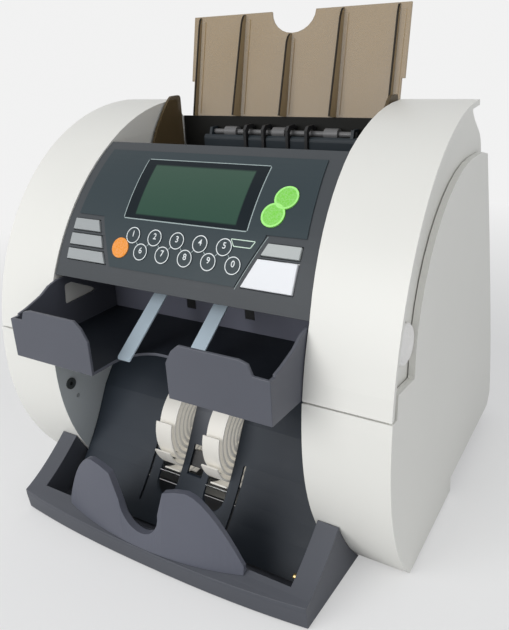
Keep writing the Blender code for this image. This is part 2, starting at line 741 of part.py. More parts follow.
def lower_cover(name, side, material):
    """White side cover of the base: front band, side panel with its arch, wall of the stacker bay."""
    top = SEAM_Z - SEAM_GAP / 2
    outline = profile_line(SKIRT_Z, top) + [(LEDGE_FOOT_Y, top), LEDGE_FRONT, LEDGE_REAR] + arch_line()
    outline += [ARCH_SHOULDER] + rear_line(REAR_TOP[1], REAR_FOOT[1])
    outline += [REAR_HEEL, (NOTCH_Y, REAR_SILL_Z), (NOTCH_Y, SKIRT_Z)]
    cover = prism_x(name, outline, side * (INNER_HALF_LOW - GAP), beside(side, 0), material)

    under, over, past = SKIRT_Z - OVERRUN, CREST_Z, REAR_Y + OVERRUN
    inside = profile_line(SKIRT_Z, SEAM_Z, WALL)
    hollow_outline = [(inside[0][0], under)] + inside + [(inside[-1][0], over), (past, over), (past, under)]
    hollow = prism_x(name + "_hollow", hollow_outline, side * (INNER_HALF_LOW + WALL),
                     beside(side, PANEL_THICKNESS))
    edge = [(FRONT_Y, top - GAP), (BAY_WALL_END_Y, top - GAP), (BAY_WALL_END_Y, under), (past, under),
            (past, over), (FRONT_Y, over)]
    opened = prism_x(name + "_bay_side", edge, side * (INNER_HALF_LOW - OVERRUN),
                     side * (INNER_HALF_LOW + WALL + GAP))
    radius = SHAFT_RADIUS + SHAFT_CLEARANCE
    shaft_hole = lathe_x(name + "_shaft_hole", [(side * (INNER_HALF_LOW - OVERRUN), radius),
                                                (side * (INNER_HALF_LOW + WALL + OVERRUN), radius)], WHEEL)
    cut(cover, hollow, opened, shaft_hole)
    return cover


def base_pan(material):
    """Steel pan that carries the frames, stepped up behind the front feet."""
    pan = prism_x("base_pan", strip(PAN_LINE, PAN_THICKNESS), beside(-1, PANEL_THICKNESS + GAP),
                  beside(1, PANEL_THICKNESS + GAP), material)
    for side in (-1, 1):
        corner = box((side * PAN_FRONT_HALF, FRONT_Y), (side * WIDTH, PAN_NECK_Y))
        cut(pan, prism_z("pan_corner", corner, -OVERRUN, PAN_LINE[0][1] + OVERRUN))
    return pan


def rubber_feet(material):
    """Four feet under the pan, the rear ones taller."""
    feet = []
    for word, (x, y), under in (("front", FRONT_FOOT, PAN_LINE[0][1]), ("rear", REAR_FOOT_PLACE, PAN_LINE[-1][1])):
        for hand, side in (("left", -1), ("right", 1)):
            rings = [[(side * x + right, y + back, z) for right, back in circle(radius, FOOT_SIDES)]
                     for z, radius in ((0, FOOT_RADIUS - FOOT_TAPER), (under - PAN_THICKNESS - GAP, FOOT_RADIUS))]
            feet.append(skin(word + "_" + hand + "_foot", rings, material))
    return feet


def side_frame(name, side, material):
    """Steel side plate that carries the shaft, the motor and one hinge ear."""
    ear = arc(HINGE, HINGE_EAR_RADIUS, EAR_FROM, EAR_TO, EAR_STEPS)
    outline = list(FRAME_LINE) + ear + list(FRAME_FRONT)
    frame = prism_x(name, outline, side * FRAME_X, side * (FRAME_X + FRAME_THICKNESS), material)
    reach = (side * (FRAME_X - OVERRUN), side * (FRAME_X + FRAME_THICKNESS + OVERRUN))
    holes = [(WHEEL, SHAFT_RADIUS + RUNNING_GAP), (HINGE, HINGE_PIN_RADIUS + GAP)]
    collar = (side * (FRAME_X - COLLAR), side * (FRAME_X + FRAME_THICKNESS / 2))
    join(frame, lathe_x(name + "_collar", [(collar[0], COLLAR_RADIUS), (collar[1], COLLAR_RADIUS)], WHEEL))
    if side < 0:
        holes.append((MOTOR, MOTOR_SPIGOT + GAP))
    cut(frame, prism_x(name + "_window", rounded(FRAME_HOLE, FRAME_HOLE_RADIUS), *reach))
    for centre, radius in holes:
        cut(frame, lathe_x(name + "_hole", [(reach[0], radius), (reach[1], radius)], centre))
    return frame


def hinge_pin(name, side, material):
    """Headed pin that runs in the upper cover and is held by the frame's ear."""
    head = FRAME_X + FRAME_THICKNESS + GAP
    profile = [(HINGE_PIN_INNER, HINGE_PIN_RADIUS), (head, HINGE_PIN_RADIUS), (head, HINGE_HEAD_RADIUS),
               (head + HINGE_HEAD, HINGE_HEAD_RADIUS)]
    return lathe_x(name, [(side * x, radius) for x, radius in profile], HINGE, material)


def tray_plan(batter=0):
    """Half of the tray's plan, from the front centre round to the rear, as (x, y)."""
    points = []
    for step in range(TRAY_BOW_STEPS + 1):
        share = step / TRAY_BOW_STEPS
        y = FRONT_Y + (TRAY_CORNER_Y - FRONT_Y) * share ** TRAY_BOW_POWER
        points.append((TRAY_HALF * share, y + batter))
    return points + [(TRAY_HALF, TRAY_REAR_Y)]


def mirrored(half):
    """Closed plan outline from its right half."""
    return list(half) + [(-x, y) for x, y in reversed(half) if x > 0]


def base_tray(material):
    """Dark tray: low bowed rim in front, arms that sweep up along the covers, sunk stack floor."""
    levels = ((TRAY_UNDER_Z, TRAY_BATTER), (TRAY_TOE_Z - WALL, 0), (TRAY_ARM_Z + OVERRUN, 0))
    rings = [[(x, y, z) for x, y in mirrored(tray_plan(batter))] for z, batter in levels]
    tray = skin("base_tray", rings, material)
    start, end = FRONT_Y - OVERRUN, TRAY_REAR_Y + OVERRUN
    depths = [start + (end - start) * step / TRAY_SWEEP_STEPS for step in range(TRAY_SWEEP_STEPS + 1)]
    sweep = [(y, tray_sweep(y)) for y in depths]
    over = sweep[-1][1] + TRAY_ARM_Z
    crest = prism_x("tray_crest", sweep + [(end, over), (start, over)], -WIDTH, WIDTH)
    recess = prism_x("tray_recess", box((TRAY_RECESS_Y, TRAY_FLOOR_Z), (0, over)),
                     -TRAY_RECESS_HALF, TRAY_RECESS_HALF)
    cut(tray, crest, recess)
    seat = profile_line(-OVERRUN, TRAY_ARM_Z + TRAY_TOE_Z, -GAP) + [(0, TRAY_ARM_Z + TRAY_TOE_Z),
                                                                   (0, -OVERRUN)]
    under = [(y, z - TRAY_ARM_WALL) for y, z in sweep if y > TRAY_RECESS_Y]
    under += [(0, under[-1][1]), (0, -OVERRUN), (under[0][0], -OVERRUN)]
    for side in (-1, 1):
        cut(tray, prism_x("tray_seat", seat, side * (INNER_HALF_LOW - GAP - GAP), side * WIDTH))
        cut(tray, prism_x("tray_arm_hollow", under, side * (TRAY_RECESS_HALF + TRAY_ARM_WALL),
                          side * (TRAY_HALF - TRAY_ARM_WALL)))
    return tray


def rest_top(x):
    """Upper edge of the stack rest across its half width."""
    if x >= REST_LOBE:
        share = (x - REST_LOBE) / (REST_END - REST_LOBE)
        return REST_END_Z + (REST_LOBE_Z - REST_END_Z) * (1 - share ** REST_LOBE_POWER)
    if x >= REST_HORN:
        share = (x - REST_HORN) / (REST_LOBE - REST_HORN)
        return REST_HORN_Z + (REST_LOBE_Z - REST_HORN_Z) * math.sin(share * math.pi / 2)
    if x >= REST_WAIST:
        return REST_WAIST_Z + (REST_HORN_Z - REST_WAIST_Z) * (x - REST_WAIST) / (REST_HORN - REST_WAIST)
    return REST_WAIST_Z - (REST_WAIST_Z - REST_NOTCH_Z) * math.sqrt(1 - (x / REST_WAIST) ** 2)


def rest_stations():
    """Places across the right half at which the stack rest is sectioned."""
    notch = [REST_WAIST * math.sin(math.pi / 2 * step / REST_NOTCH_STEPS)
             for step in range(REST_NOTCH_STEPS + 1)]
    wing = [REST_LOBE + (REST_END - REST_LOBE) * step / REST_WING_STEPS for step in range(REST_WING_STEPS + 1)]
    return notch + [REST_HORN, (REST_HORN + REST_LOBE) / 2] + wing


def rest_section(x):
    """Section of the stack rest: bowed front face, scooped back, foot on the tray's rim."""
    share = abs(x) / REST_END
    front = REST_CENTRE_Y + (REST_END_Y - REST_CENTRE_Y) * share ** 2
    top = rest_top(abs(x))
    thickness = REST_TOP_THICKNESS + (REST_EDGE_THICKNESS - REST_TOP_THICKNESS) * share ** 2
    low_front = tray_sweep(front) + GAP
    low_back = tray_sweep(REST_FOOT_Y) + GAP
    scoop = low_back + (top - low_back) * REST_SCOOP_SHARE
    slope = min((front + thickness + REST_FOOT_Y) / 2, REST_FOOT_Y)
    return [(x, front, low_front), (x, front + REST_LEAN, top), (x, front + REST_LEAN + thickness, top),
            (x, slope, scoop), (x, REST_FOOT_Y, low_back)]


def stack_rest(material):
    """Boat-shaped rest for the counted stack, with a finger notch at its centre."""
    right = rest_stations()
    places = [-x for x in reversed(right) if x > 0] + right
    return skin("stack_rest", [rest_section(x) for x in places], material)


def slot_outline(x, width, low_z, high_z):
    """Upright slot with a round lower end and a square upper end."""
    bottom = arc((x, low_z + width / 2), width / 2, math.pi, math.tau, EAR_STEPS)
    return bottom + [(x + width / 2, high_z), (x - width / 2, high_z)]


def stacker_back_plate(material):
    """Curved plate behind the stack, slotted for the wheels and the guide slits."""
    plate = prism_x("stacker_back_plate", strip(tuple(reversed(BAY_LINE)), PLATE_THICKNESS),
                    -BAY_HALF, BAY_HALF, material)
    for side in (-1, 1):
        slot = slot_outline(side * WHEEL_X, WHEEL_SLOT_WIDTH, WHEEL_SLOT_LOW_Z, WHEEL_SLOT_HIGH_Z)
        slit = slot_outline(side * SLIT_X, SLIT_WIDTH, SLIT_LOW_Z, SLIT_HIGH_Z)
        cut(plate, prism_y("wheel_slot", slot, FRONT_Y, 0), prism_y("guide_slit", slit, FRONT_Y, 0))
    window = box((-EYE_WINDOW_WIDTH / 2, EYE_WINDOW_LOW_Z), (EYE_WINDOW_WIDTH / 2, EYE_WINDOW_HIGH_Z))
    cut(plate, prism_y("eye_window", window, FRONT_Y, 0))
    return plate


def stack_eye(material):
    """Sensor that sees whether notes lie in the stacker bay."""
    behind = offset_line(tuple(reversed(BAY_LINE)), PLATE_THICKNESS + GAP)[STACK_EYE_STRETCH]
    return prism_x("stack_sensor", strip(behind, STACK_EYE_DEPTH), -STACK_EYE_WIDTH / 2, STACK_EYE_WIDTH / 2,
                   material)


def wheel_outline():
    """Closed outline of a stacker wheel: a hub with curved vanes."""
    points = []
    shares = [step / (VANE_POINTS - 1) for step in range(VANE_POINTS)]
    for vane in range(WHEEL_VANES):
        for edge, order in ((-1, shares), (1, list(reversed(shares)))):
            for share in order:
                radius = WHEEL_HUB + (WHEEL_RADIUS - WHEEL_HUB) * share
                half = VANE_ROOT_ANGLE + (VANE_TIP_ANGLE - VANE_ROOT_ANGLE) * share ** VANE_TAPER_POWER
                turn = math.tau * vane / WHEEL_VANES + VANE_SWEEP * share ** VANE_CURL_POWER + edge * half
                points.append((WHEEL[0] + radius * math.cos(turn), WHEEL[1] + radius * math.sin(turn)))
    return points


def impeller(name, side, material):
    """Stacker wheel with its bore for the shaft."""
    centre = side * WHEEL_X
    low, high = centre - WHEEL_WIDTH / 2, centre + WHEEL_WIDTH / 2
    wheel = prism_x(name, wheel_outline(), low, high, material, (centre, *WHEEL))
    radius = SHAFT_RADIUS + GAP
    cut(wheel, lathe_x(name + "_bore", [(low - OVERRUN, radius), (high + OVERRUN, radius)], WHEEL))
    return wheel


def pulley(name, centre, radius, bore_radius, material):
    """Flanged belt pulley on the left."""
    half = BELT_WIDTH / 2 + GAP
    outer = half + PULLEY_FLANGE_WIDTH
    inner = bore_radius + GAP
    rim = radius + PULLEY_FLANGE
    profile = [(-outer, inner), (-outer, rim), (-half, rim), (-half, radius), (half, radius), (half, rim),
               (outer, rim), (outer, inner)]
    return lathe_x(name, [(x - BELT_X, around) for x, around in profile], centre, material,
                   (-BELT_X, *centre), True)


def belt_loop(margin):
    """Closed loop around both pulleys at a margin over their rims, as (y, z)."""
    span = Vector(MOTOR) - Vector(WHEEL)
    heading = math.atan2(span.y, span.x)
    lean = math.acos((STACKER_PULLEY_RADIUS - MOTOR_PULLEY_RADIUS) / span.length)
    front = arc(WHEEL, STACKER_PULLEY_RADIUS + margin, heading + lean, heading + math.tau - lean, BELT_STEPS)
    back = arc(MOTOR, MOTOR_PULLEY_RADIUS + margin, heading - lean, heading + lean, BELT_STEPS)
    return front + back


def drive_belt(material):
    """Flat belt from the motor to the stacker shaft."""
    low, high = -BELT_X - BELT_WIDTH / 2, -BELT_X + BELT_WIDTH / 2
    inner, outer = belt_loop(GAP), belt_loop(GAP + BELT_THICKNESS)
    corners = ((low, inner), (low, outer), (high, outer), (high, inner))
    return skin("drive_belt", [[(x, *point) for point in loop] for x, loop in corners], material, looped=True)


def stacker_shaft(material):
    """Steel shaft of the stacker wheels."""
    return lathe_x("stacker_shaft", [(-SHAFT_LEFT, SHAFT_RADIUS), (SHAFT_RIGHT, SHAFT_RADIUS)], WHEEL, material,
                   (0, *WHEEL))


def drive_motor(material):
    """Motor on the left frame, with a bored spigot for its shaft."""
    face = FRAME_X - GAP
    inner = MOTOR_SHAFT_RADIUS + RUNNING_GAP
    spigot = FRAME_X + FRAME_THICKNESS + GAP
    profile = [(MOTOR_LENGTH - face, MOTOR_RADIUS), (-face, MOTOR_RADIUS), (-face, MOTOR_SPIGOT),
               (-spigot, MOTOR_SPIGOT), (-spigot, inner), (MOTOR_LENGTH / 2 - face, inner)]
    return lathe_x("drive_motor", profile, MOTOR, material)


def motor_shaft(material):
    """Shaft of the motor."""
    end = MOTOR_LENGTH / 2 - FRAME_X
    return lathe_x("motor_shaft", [(-BELT_X - BELT_WIDTH, MOTOR_SHAFT_RADIUS), (end, MOTOR_SHAFT_RADIUS)],
                   MOTOR, material, (-BELT_X, *MOTOR))


def reject_pocket(material):
    """Dark pocket for rejected notes, open at the front between its two half walls."""
    outline = [(POCKET_FRONT_Y, POCKET_UNDER_Z), (POCKET_REAR_Y, POCKET_UNDER_Z),
               (POCKET_REAR_Y, POCKET_SIDE_LINE[-1][1])]
    outline += list(reversed(POCKET_SIDE_LINE[1:]))
    behind = POCKET_FRONT_Y + POCKET_SHEET + GAP
    outline += [(behind, POCKET_STEP_Z), (behind, POCKET_CREST_Z + GAP), (POCKET_FRONT_Y, POCKET_CREST_Z + GAP)]
    pocket = prism_x("reject_pocket", outline, -POCKET_HALF, POCKET_HALF, material)
    floor = POCKET_UNDER_Z + POCKET_SHEET
    hollow = prism_x("pocket_hollow", box((POCKET_FRONT_Y + POCKET_SHEET, floor), (0, CREST_Z)),
                     POCKET_SHEET - POCKET_HALF, POCKET_HALF - POCKET_SHEET)
    window = prism_x("pocket_side_cut", rounded(POCKET_CUT, POCKET_CUT_RADIUS, 2), -WIDTH, WIDTH)
    cut(pocket, hollow, window)
    reach = (POCKET_FRONT_Y - OVERRUN, POCKET_FRONT_Y + POCKET_SHEET + OVERRUN)
    for side in (-1, 1):
        edge = [(side * x, z) for x, z in POCKET_CREST]
        over = edge + [(side * WIDTH, edge[-1][1]), (side * WIDTH, CREST_Z), (edge[0][0], CREST_Z)]
        cut(pocket, prism_y("pocket_crest", over, *reach))
    corner = POCKET_NOTCH_RADIUS
    left = arc((corner - POCKET_NOTCH_HALF, POCKET_NOTCH_Y - corner), corner, math.pi, math.pi / 2,
               POCKET_NOTCH_STEPS)
    right = [(-x, y) for x, y in reversed(left)]
    notch = [(-POCKET_NOTCH_HALF, reach[0])] + left + right + [(POCKET_NOTCH_HALF, reach[0])]
    cut(pocket, prism_z("pocket_notch", notch, 0, CREST_Z))
    return pocket


def eye_outline(side, margin=0):
    """Square face of a sensor in the reject pocket's rear wall."""
    half = EYE_SIZE / 2 + margin
    return box((side * EYE_X - half, EYE_Z - half), (side * EYE_X + half, EYE_Z + half))


def reject_back_wall(material):
    """Rear wall of the reject pocket, with two sensor windows."""
    behind = BACK_WALL_Y + PLATE_THICKNESS
    wall = prism_x("reject_back_wall", box((BACK_WALL_Y, POCKET_UNDER_Z), (behind, BACK_WALL_TOP_Z)),
                   -BACK_WALL_HALF, BACK_WALL_HALF, material)
    for side in (-1, 1):
        cut(wall, prism_y("eye_hole", eye_outline(side, GAP), BACK_WALL_Y - OVERRUN, behind + OVERRUN))
    return wall


def reject_sensors(material):
    """Small board behind the reject pocket's rear wall, with two sensors that show through it."""
    behind = BACK_WALL_Y + PLATE_THICKNESS + GAP
    half_width, half_height = EYE_X + EYE_SIZE, EYE_SIZE / 2 + EYE_BORDER
    board = prism_y("reject_sensors", box((-half_width, EYE_Z - half_height), (half_width, EYE_Z + half_height)),
                    behind, behind + EYE_DEPTH, material)
    for side in (-1, 1):
        join(board, prism_y("reject_eye", eye_outline(side), BACK_WALL_Y, behind + EYE_DEPTH / 2))
    return board


def reject_strip(name, side, material):
    """Springy guide strip that leads notes down into the reject pocket."""
    centre, half = side * STRIP_X, STRIP_WIDTH / 2
    sheet = prism_x(name, strip(STRIP_LINE, -STRIP_THICKNESS), centre - half, centre + half, material)
    tip_y = STRIP_LINE[-1][0]
    inner, level, low_side = half - STRIP_CORNER, tip_y + STRIP_CORNER, 3 * math.pi / 2
    tip = (arc((centre - inner, level), STRIP_CORNER, math.pi, low_side, STRIP_TIP_STEPS)
           + arc((centre + inner, level), STRIP_CORNER, low_side, math.tau, STRIP_TIP_STEPS))
    out, past = half + OVERRUN, tip_y - OVERRUN
    around = [(centre + out, tip_y + half), (centre + out, past), (centre - out, past),
              (centre - out, tip_y + half)]
    cut(sheet, prism_z(name + "_tip", tip + around, POCKET_UNDER_Z, STRIP_LINE[-1][1] + STRIP_WIDTH))
    return sheet


@functools.cache
def panel_samples():
    """Samples of the control panel's face from its lower edge up: arc length, y and z."""
    line = profile_line(FLARE_LOW_Z, BEZEL_TOP_Z, BEZEL_INSET, SURFACE_SAMPLES)
    walked = 0
    samples = [(0, *line[0])]
    for before, after in zip(line, line[1:]):
        walked += (Vector(after) - Vector(before)).length
        samples.append((walked, *after))
    return samples


def panel_frame(s):
    """Point of the panel's face at an arc length, with its upward tangent and outward normal."""
    samples = panel_samples()
    place = next((place for place, sample in enumerate(samples[1:-1]) if s <= sample[0]), len(samples) - 2)
    before, after = samples[place], samples[place + 1]
    start, end = Vector(before[1:]), Vector(after[1:])
    along = (end - start).normalized()
    return start.lerp(end, (s - before[0]) / (after[0] - before[0])), along, Vector((-along.y, along.x))


def panel_place(x, s, lift):
    """World place of a point over the panel's face."""
    point, _, outward = panel_frame(s)
    raised = point + outward * lift
    return x, raised.x, raised.y


def panel_sheet(name, stations, low, high, material=None):
    """Curved sheet over the panel through stations of (s, left x, right x)."""
    rings = [[panel_place(left, s, low), panel_place(right, s, low), panel_place(right, s, high),
              panel_place(left, s, high)] for s, left, right in stations]
    return skin(name, rings, material)


def panel_block(name, outline, low, high, material=None, origin=(0, 0, 0)):
    """Flat-faced block over the panel from an outline of (x, s), square to the panel at its middle."""
    middle = (min(s for _, s in outline) + max(s for _, s in outline)) / 2
    point, along, outward = panel_frame(middle)
    rings = []
    for lift in (low, high):
        places = [(x, point + along * (s - middle) + outward * lift) for x, s in outline]
        rings.append([(x, place.x, place.y) for x, place in places])
    return skin(name, rings, material, origin)


def even_stations(low_s, high_s, half):
    """Stations of constant width between two arc lengths."""
    count = max(round((high_s - low_s) / STATION_STEP), 1)
    return [(low_s + (high_s - low_s) * place / count, -half, half) for place in range(count + 1)]


def key_outline(edge, low_s, high_s, low_x, high_x, margin=0):
    """Four corners of a key with one slanted side, grown by a margin."""
    away = math.copysign(margin, edge)
    return [(edge + away, low_s - margin), (edge + away, high_s + margin), (high_x - away, high_s + margin),
            (low_x - away, low_s - margin)]


def key_rows():
    """Name, edge and row of every moving key."""
    left = [("left_key_%d" % (place + 1), LEFT_KEY_EDGE, row) for place, row in enumerate(LEFT_KEYS)]
    right = [(name, RIGHT_KEY_EDGE, row) for name, row in zip(("mode_key", "start_key"), RIGHT_KEYS)]
    return left + right


def control_bezel(material):
    """Dark curved panel between the covers, with openings for the display and the keys."""
    line = profile_line(FLARE_LOW_Z, BEZEL_TOP_Z, BEZEL_INSET, BEZEL_STEPS)
    foot = (line[0][0] + BEZEL_LIP, line[0][1])
    head = (line[-1][0], line[-1][1] - BEZEL_LIP)
    bezel = prism_x("control_bezel", strip([foot] + line + [head], WALL), -INNER_HALF_LOW, INNER_HALF_LOW,
                    material)
    for side in (-1, 1):
        cut(bezel, bay_cutter("bezel_flare", side, BEZEL_SIDE_GAP, True))
    for name, edge, row in key_rows():
        outline = key_outline(edge, *row, KEY_CLEARANCE)
        cut(bezel, panel_block(name + "_opening", outline, -WALL - OVERRUN, OVERRUN))
    stations = even_stations(SCREEN_LOW_S - KEY_CLEARANCE, SCREEN_HIGH_S + KEY_CLEARANCE,
                             SCREEN_HALF + KEY_CLEARANCE)
    cut(bezel, panel_sheet("screen_opening", stations, -WALL - OVERRUN, OVERRUN))
    return bezel


def panel_key(name, edge, row, material):
    """Key cap with its stem, sliding square to the panel."""
    middle = ((edge + row[2]) / 2, (row[0] + row[1]) / 2)
    return panel_block(name, key_outline(edge, *row), -KEY_DEPTH, KEY_PROUD, material,
                       panel_place(*middle, 0))


def membrane_stations():
    """Outline of the printed membrane as stations up the panel."""
    stations = []
    for before, after in zip(MEMBRANE_STATIONS, MEMBRANE_STATIONS[1:]):
        count = max(round((after[0] - before[0]) / STATION_STEP), 1)
        for step in range(count):
            share = step / count
            stations.append(tuple(a + (b - a) * share for a, b in zip(before, after)))
    return stations + [MEMBRANE_STATIONS[-1]]


def number_places():
    """Centres and radii of the membrane's embossed number keys."""
    return [(first + pitch * count, s, NUMBER_RADIUS) for s, first, pitch in NUMBER_ROWS
            for count in range(NUMBER_COUNT)]


def discs(name, places, low, high, grow, material=None):
    """Flat round discs over the panel, several solids in one piece."""
    verts, faces = [], []
    for x, s, radius in places:
        point, along, outward = panel_frame(s)
        start = len(verts)
        for lift in (low, high):
            for right, up in circle(radius + grow, DOME_SIDES):
                place = point + along * up + outward * lift
                verts.append((x + right, place.x, place.y))
        bottom = [start + step for step in range(DOME_SIDES)]
        top = [start + DOME_SIDES + step for step in range(DOME_SIDES)]
        faces += [tuple(reversed(bottom)), tuple(top)]
        faces += [(bottom[i - 1], bottom[i], top[i], top[i - 1]) for i in range(DOME_SIDES)]
    return mesh_object(name, verts, faces, material)


def keypad(material, menu_material, round_material):
    """Membrane on the panel with its window and embossed numbers, and the coloured keys set into it."""
    membrane = panel_sheet("keypad_membrane", membrane_stations(), GAP, GAP + MEMBRANE_THICKNESS, material)
    window = even_stations(DISPLAY_LOW_S - GAP, DISPLAY_HIGH_S + GAP, DISPLAY_HALF + GAP)
    cut(membrane, panel_sheet("membrane_window", window, -OVERRUN, OVERRUN))
    join(membrane, discs("number_domes", number_places(), GAP + MEMBRANE_THICKNESS / 2, GAP + DOME_THICKNESS, 0))
    coloured = [(*MENU_PLACE, MENU_RADIUS)] + [(*place, ROUND_RADIUS) for place in ROUND_PLACES]
    for place in coloured:
        cut(membrane, discs("key_hole", [place], -OVERRUN, OVERRUN, GAP))
    menu, first, second = [discs(name, [place], GAP, GAP + DOME_THICKNESS, 0, look) for name, place, look in
                           zip(("menu_key", "round_keys", "round_key_lobe"), coloured,
                               (menu_material, round_material, None))]
    join(first, second)
    return [membrane, menu, first]


def display(window_material, screen_material):
    """Clear window in the membrane and the screen behind it."""
    pane = panel_sheet("display_window", even_stations(DISPLAY_LOW_S, DISPLAY_HIGH_S, DISPLAY_HALF),
                       GAP, DISPLAY_PROUD, window_material)
    screen = panel_sheet("display_screen", even_stations(SCREEN_LOW_S, SCREEN_HIGH_S, SCREEN_HALF),
                         -SCREEN_DEPTH, -SCREEN_SINK, screen_material)
    return [pane, screen]


def hopper_bed(material):
    """Front wall and sloped floor of the hopper, slotted for the feed rollers."""
    bed = prism_x("hopper_bed", strip(HOPPER_LINE, HOPPER_SHEET), -HOPPER_HALF, HOPPER_HALF, material)
    half = FEED_ROLLER_WIDTH / 2 + FEED_SLOT_MARGIN
    for side in (-1, 1):
        slot = box((side * FEED_ROLLER_X - half, FEED[0] - FEED_SLOT_HALF),
                   (side * FEED_ROLLER_X + half, FEED[0] + FEED_SLOT_HALF))
        cut(bed, prism_z("feed_slot", slot, FEED[1], HOPPER_LINE[0][1] - HOPPER_SHEET))
    return bed


def hopper_rear_wall(material):
    """Rear wall of the hopper with a rolled top, slots for the fingers and ears for the pickup shaft."""
    roll = (REAR_WALL_Y + REAR_WALL_ROLL, REAR_WALL_TOP_Z - REAR_WALL_ROLL)
    line = [(REAR_WALL_Y, REAR_WALL_LOW_Z)]
    line += arc(roll, REAR_WALL_ROLL, math.pi, REAR_WALL_TURN, REAR_WALL_STEPS)
    wall = prism_x("hopper_rear_wall", strip(line, REAR_WALL_SHEET), -REAR_WALL_HALF, REAR_WALL_HALF, material)
    for side in (-1, 1):
        join(wall, prism_x("pickup_ear", PICKUP_EAR, side * PICKUP_EAR_X,
                           side * (PICKUP_EAR_X + PICKUP_EAR_THICKNESS)))
    half = FINGER_SLOT_WIDTH / 2
    for x in FINGER_PLACES:
        slot = box((0, FINGER_SLOT_LOW_Z), (HINGE[0], CREST_Z))
        cut(wall, prism_x("finger_slot", slot, x - half, x + half))
    radius = PICKUP_SHAFT_RADIUS + RUNNING_GAP
    cut(wall, lathe_x("pickup_bore", [(-REAR_WALL_HALF, radius), (REAR_WALL_HALF, radius)], PICKUP))
    return wall


def feed_fingers(material):
    """Comb of four hooked fingers that stand in the rear wall's slots and reach over the pickup shaft."""
    half = FINGER_WIDTH / 2
    comb = prism_x("feed_fingers", FINGER_BAR, -FINGER_BAR_HALF, FINGER_BAR_HALF, material)
    for x in FINGER_PLACES:
        join(comb, prism_x("finger", FINGER_LINE, x - half, x + half))
    return comb


def roller(name, x, centre, radius, bore_radius, width, material):
    """Plain roller on a shaft."""
    inner = bore_radius + GAP
    profile = [(x - width / 2, inner), (x - width / 2, radius), (x + width / 2, radius), (x + width / 2, inner)]
    return lathe_x(name, profile, centre, material, (x, *centre), True)


def pickup_shaft(material):
    """Thin shaft behind the hopper's rear wall, moulded with its rollers."""
    reach = PICKUP_EAR_X + PICKUP_EAR_THICKNESS
    profile = [(-reach, PICKUP_SHAFT_RADIUS)]
    for x in PICKUP_PLACES:
        low, high = x - PICKUP_ROLLER_WIDTH / 2, x + PICKUP_ROLLER_WIDTH / 2
        profile += [(low, PICKUP_SHAFT_RADIUS), (low, PICKUP_ROLLER_RADIUS), (high, PICKUP_ROLLER_RADIUS),
                    (high, PICKUP_SHAFT_RADIUS)]
    profile.append((reach, PICKUP_SHAFT_RADIUS))
    return lathe_x("pickup_shaft", profile, PICKUP, material, (0, *PICKUP))


def note_guide(name, side, material):
    """Brown side guide for the note stack, sliding on the rail."""
    inner, outer = side * (GUIDE_X - GUIDE_THICKNESS / 2), side * (GUIDE_X + GUIDE_THICKNESS / 2)
    foot = [(RAIL[0] + BOSS_RADIUS / 2, RAIL[1] + BOSS_RADIUS), (RAIL[0] + BOSS_RADIUS / 2, RAIL[1] - BOSS_RADIUS)]
    fin = prism_x(name, rounded(list(GUIDE_LINE) + foot, GUIDE_CORNER, 3), inner, outer, material,
                  (side * GUIDE_X, *RAIL))
    join(fin, lathe_x(name + "_boss", [(outer - side * BOSS_LENGTH, BOSS_RADIUS), (outer, BOSS_RADIUS)], RAIL))
    radius = RAIL_RADIUS + RUNNING_GAP
    cut(fin, lathe_x(name + "_bore", [(inner - side * BOSS_LENGTH, radius), (outer + side * OVERRUN, radius)],
                     RAIL))
    return fin


def guide_rail(material):
    """Rod that the note guides slide on."""
    return lathe_x("guide_rail", [(-RAIL_HALF, RAIL_RADIUS), (RAIL_HALF, RAIL_RADIUS)], RAIL, material)


def rear_deck(material):
    """Dark deck behind the hopper and the rear face of the upper module."""
    line = [(DECK_FRONT[0], RAIL[1] + BOSS_RADIUS)] + deck_line()
    half = INNER_HALF_HIGH - GAP - GAP
    return prism_x("rear_deck", strip(line, WALL), -half, half, material)


def plate_place(x, up, back):
    """World place on the leaning note plate: across, up along the plate, and behind its face."""
    rise = Vector((math.sin(PLATE_LEAN), math.cos(PLATE_LEAN)))
    behind = Vector((math.cos(PLATE_LEAN), -math.sin(PLATE_LEAN)))
    place = Vector(PLATE_TOP) + rise * up + behind * back
    return x, place.x, place.y


def plate_prism(name, outline, front, back, material=None):
    """Outline of (x, up) swept square to the leaning plate."""
    return skin(name, [[plate_place(x, up, depth) for x, up in outline] for depth in (front, back)], material)


def note_plate(material):
    """Smoked plate that the note stack leans on, with five ribs and a finger notch."""
    foot = (PLATE_FOOT_Z - PLATE_TOP[1]) / math.cos(PLATE_LEAN)
    shoulder = (PLATE_SHOULDER_Z - PLATE_TOP[1]) / math.cos(PLATE_LEAN)
    narrow = PLATE_HALF - PLATE_SHOULDER
    right = [(narrow, foot), (narrow, shoulder), (PLATE_HALF, shoulder), (PLATE_HALF, 0),
             (PLATE_NOTCH_HALF + PLATE_NOTCH_LIP, 0)]
    notch = [(PLATE_NOTCH_HALF * math.cos(turn), -PLATE_NOTCH_DEPTH * math.sin(turn))
             for turn in (math.pi * step / PLATE_NOTCH_STEPS for step in range(PLATE_NOTCH_STEPS + 1))]
    left = [(-x, up) for x, up in reversed(right)]
    plate = plate_prism("note_back_plate", right + notch + left, 0, NOTE_PLATE_SHEET, material)
    for x in RIB_PLACES:
        top = -RIB_END_GAP if abs(x) > PLATE_NOTCH_HALF else -PLATE_NOTCH_DEPTH - RIB_END_GAP
        low = foot + RIB_END_GAP
        outline = [(x - RIB_FOOT_HALF, low), (x + RIB_FOOT_HALF, low), (x + RIB_TOP_HALF, top),
                   (x - RIB_TOP_HALF, top)]
        join(plate, plate_prism("plate_rib", outline, NOTE_PLATE_SHEET / 2, NOTE_PLATE_SHEET + RIB_HEIGHT))
    return plate


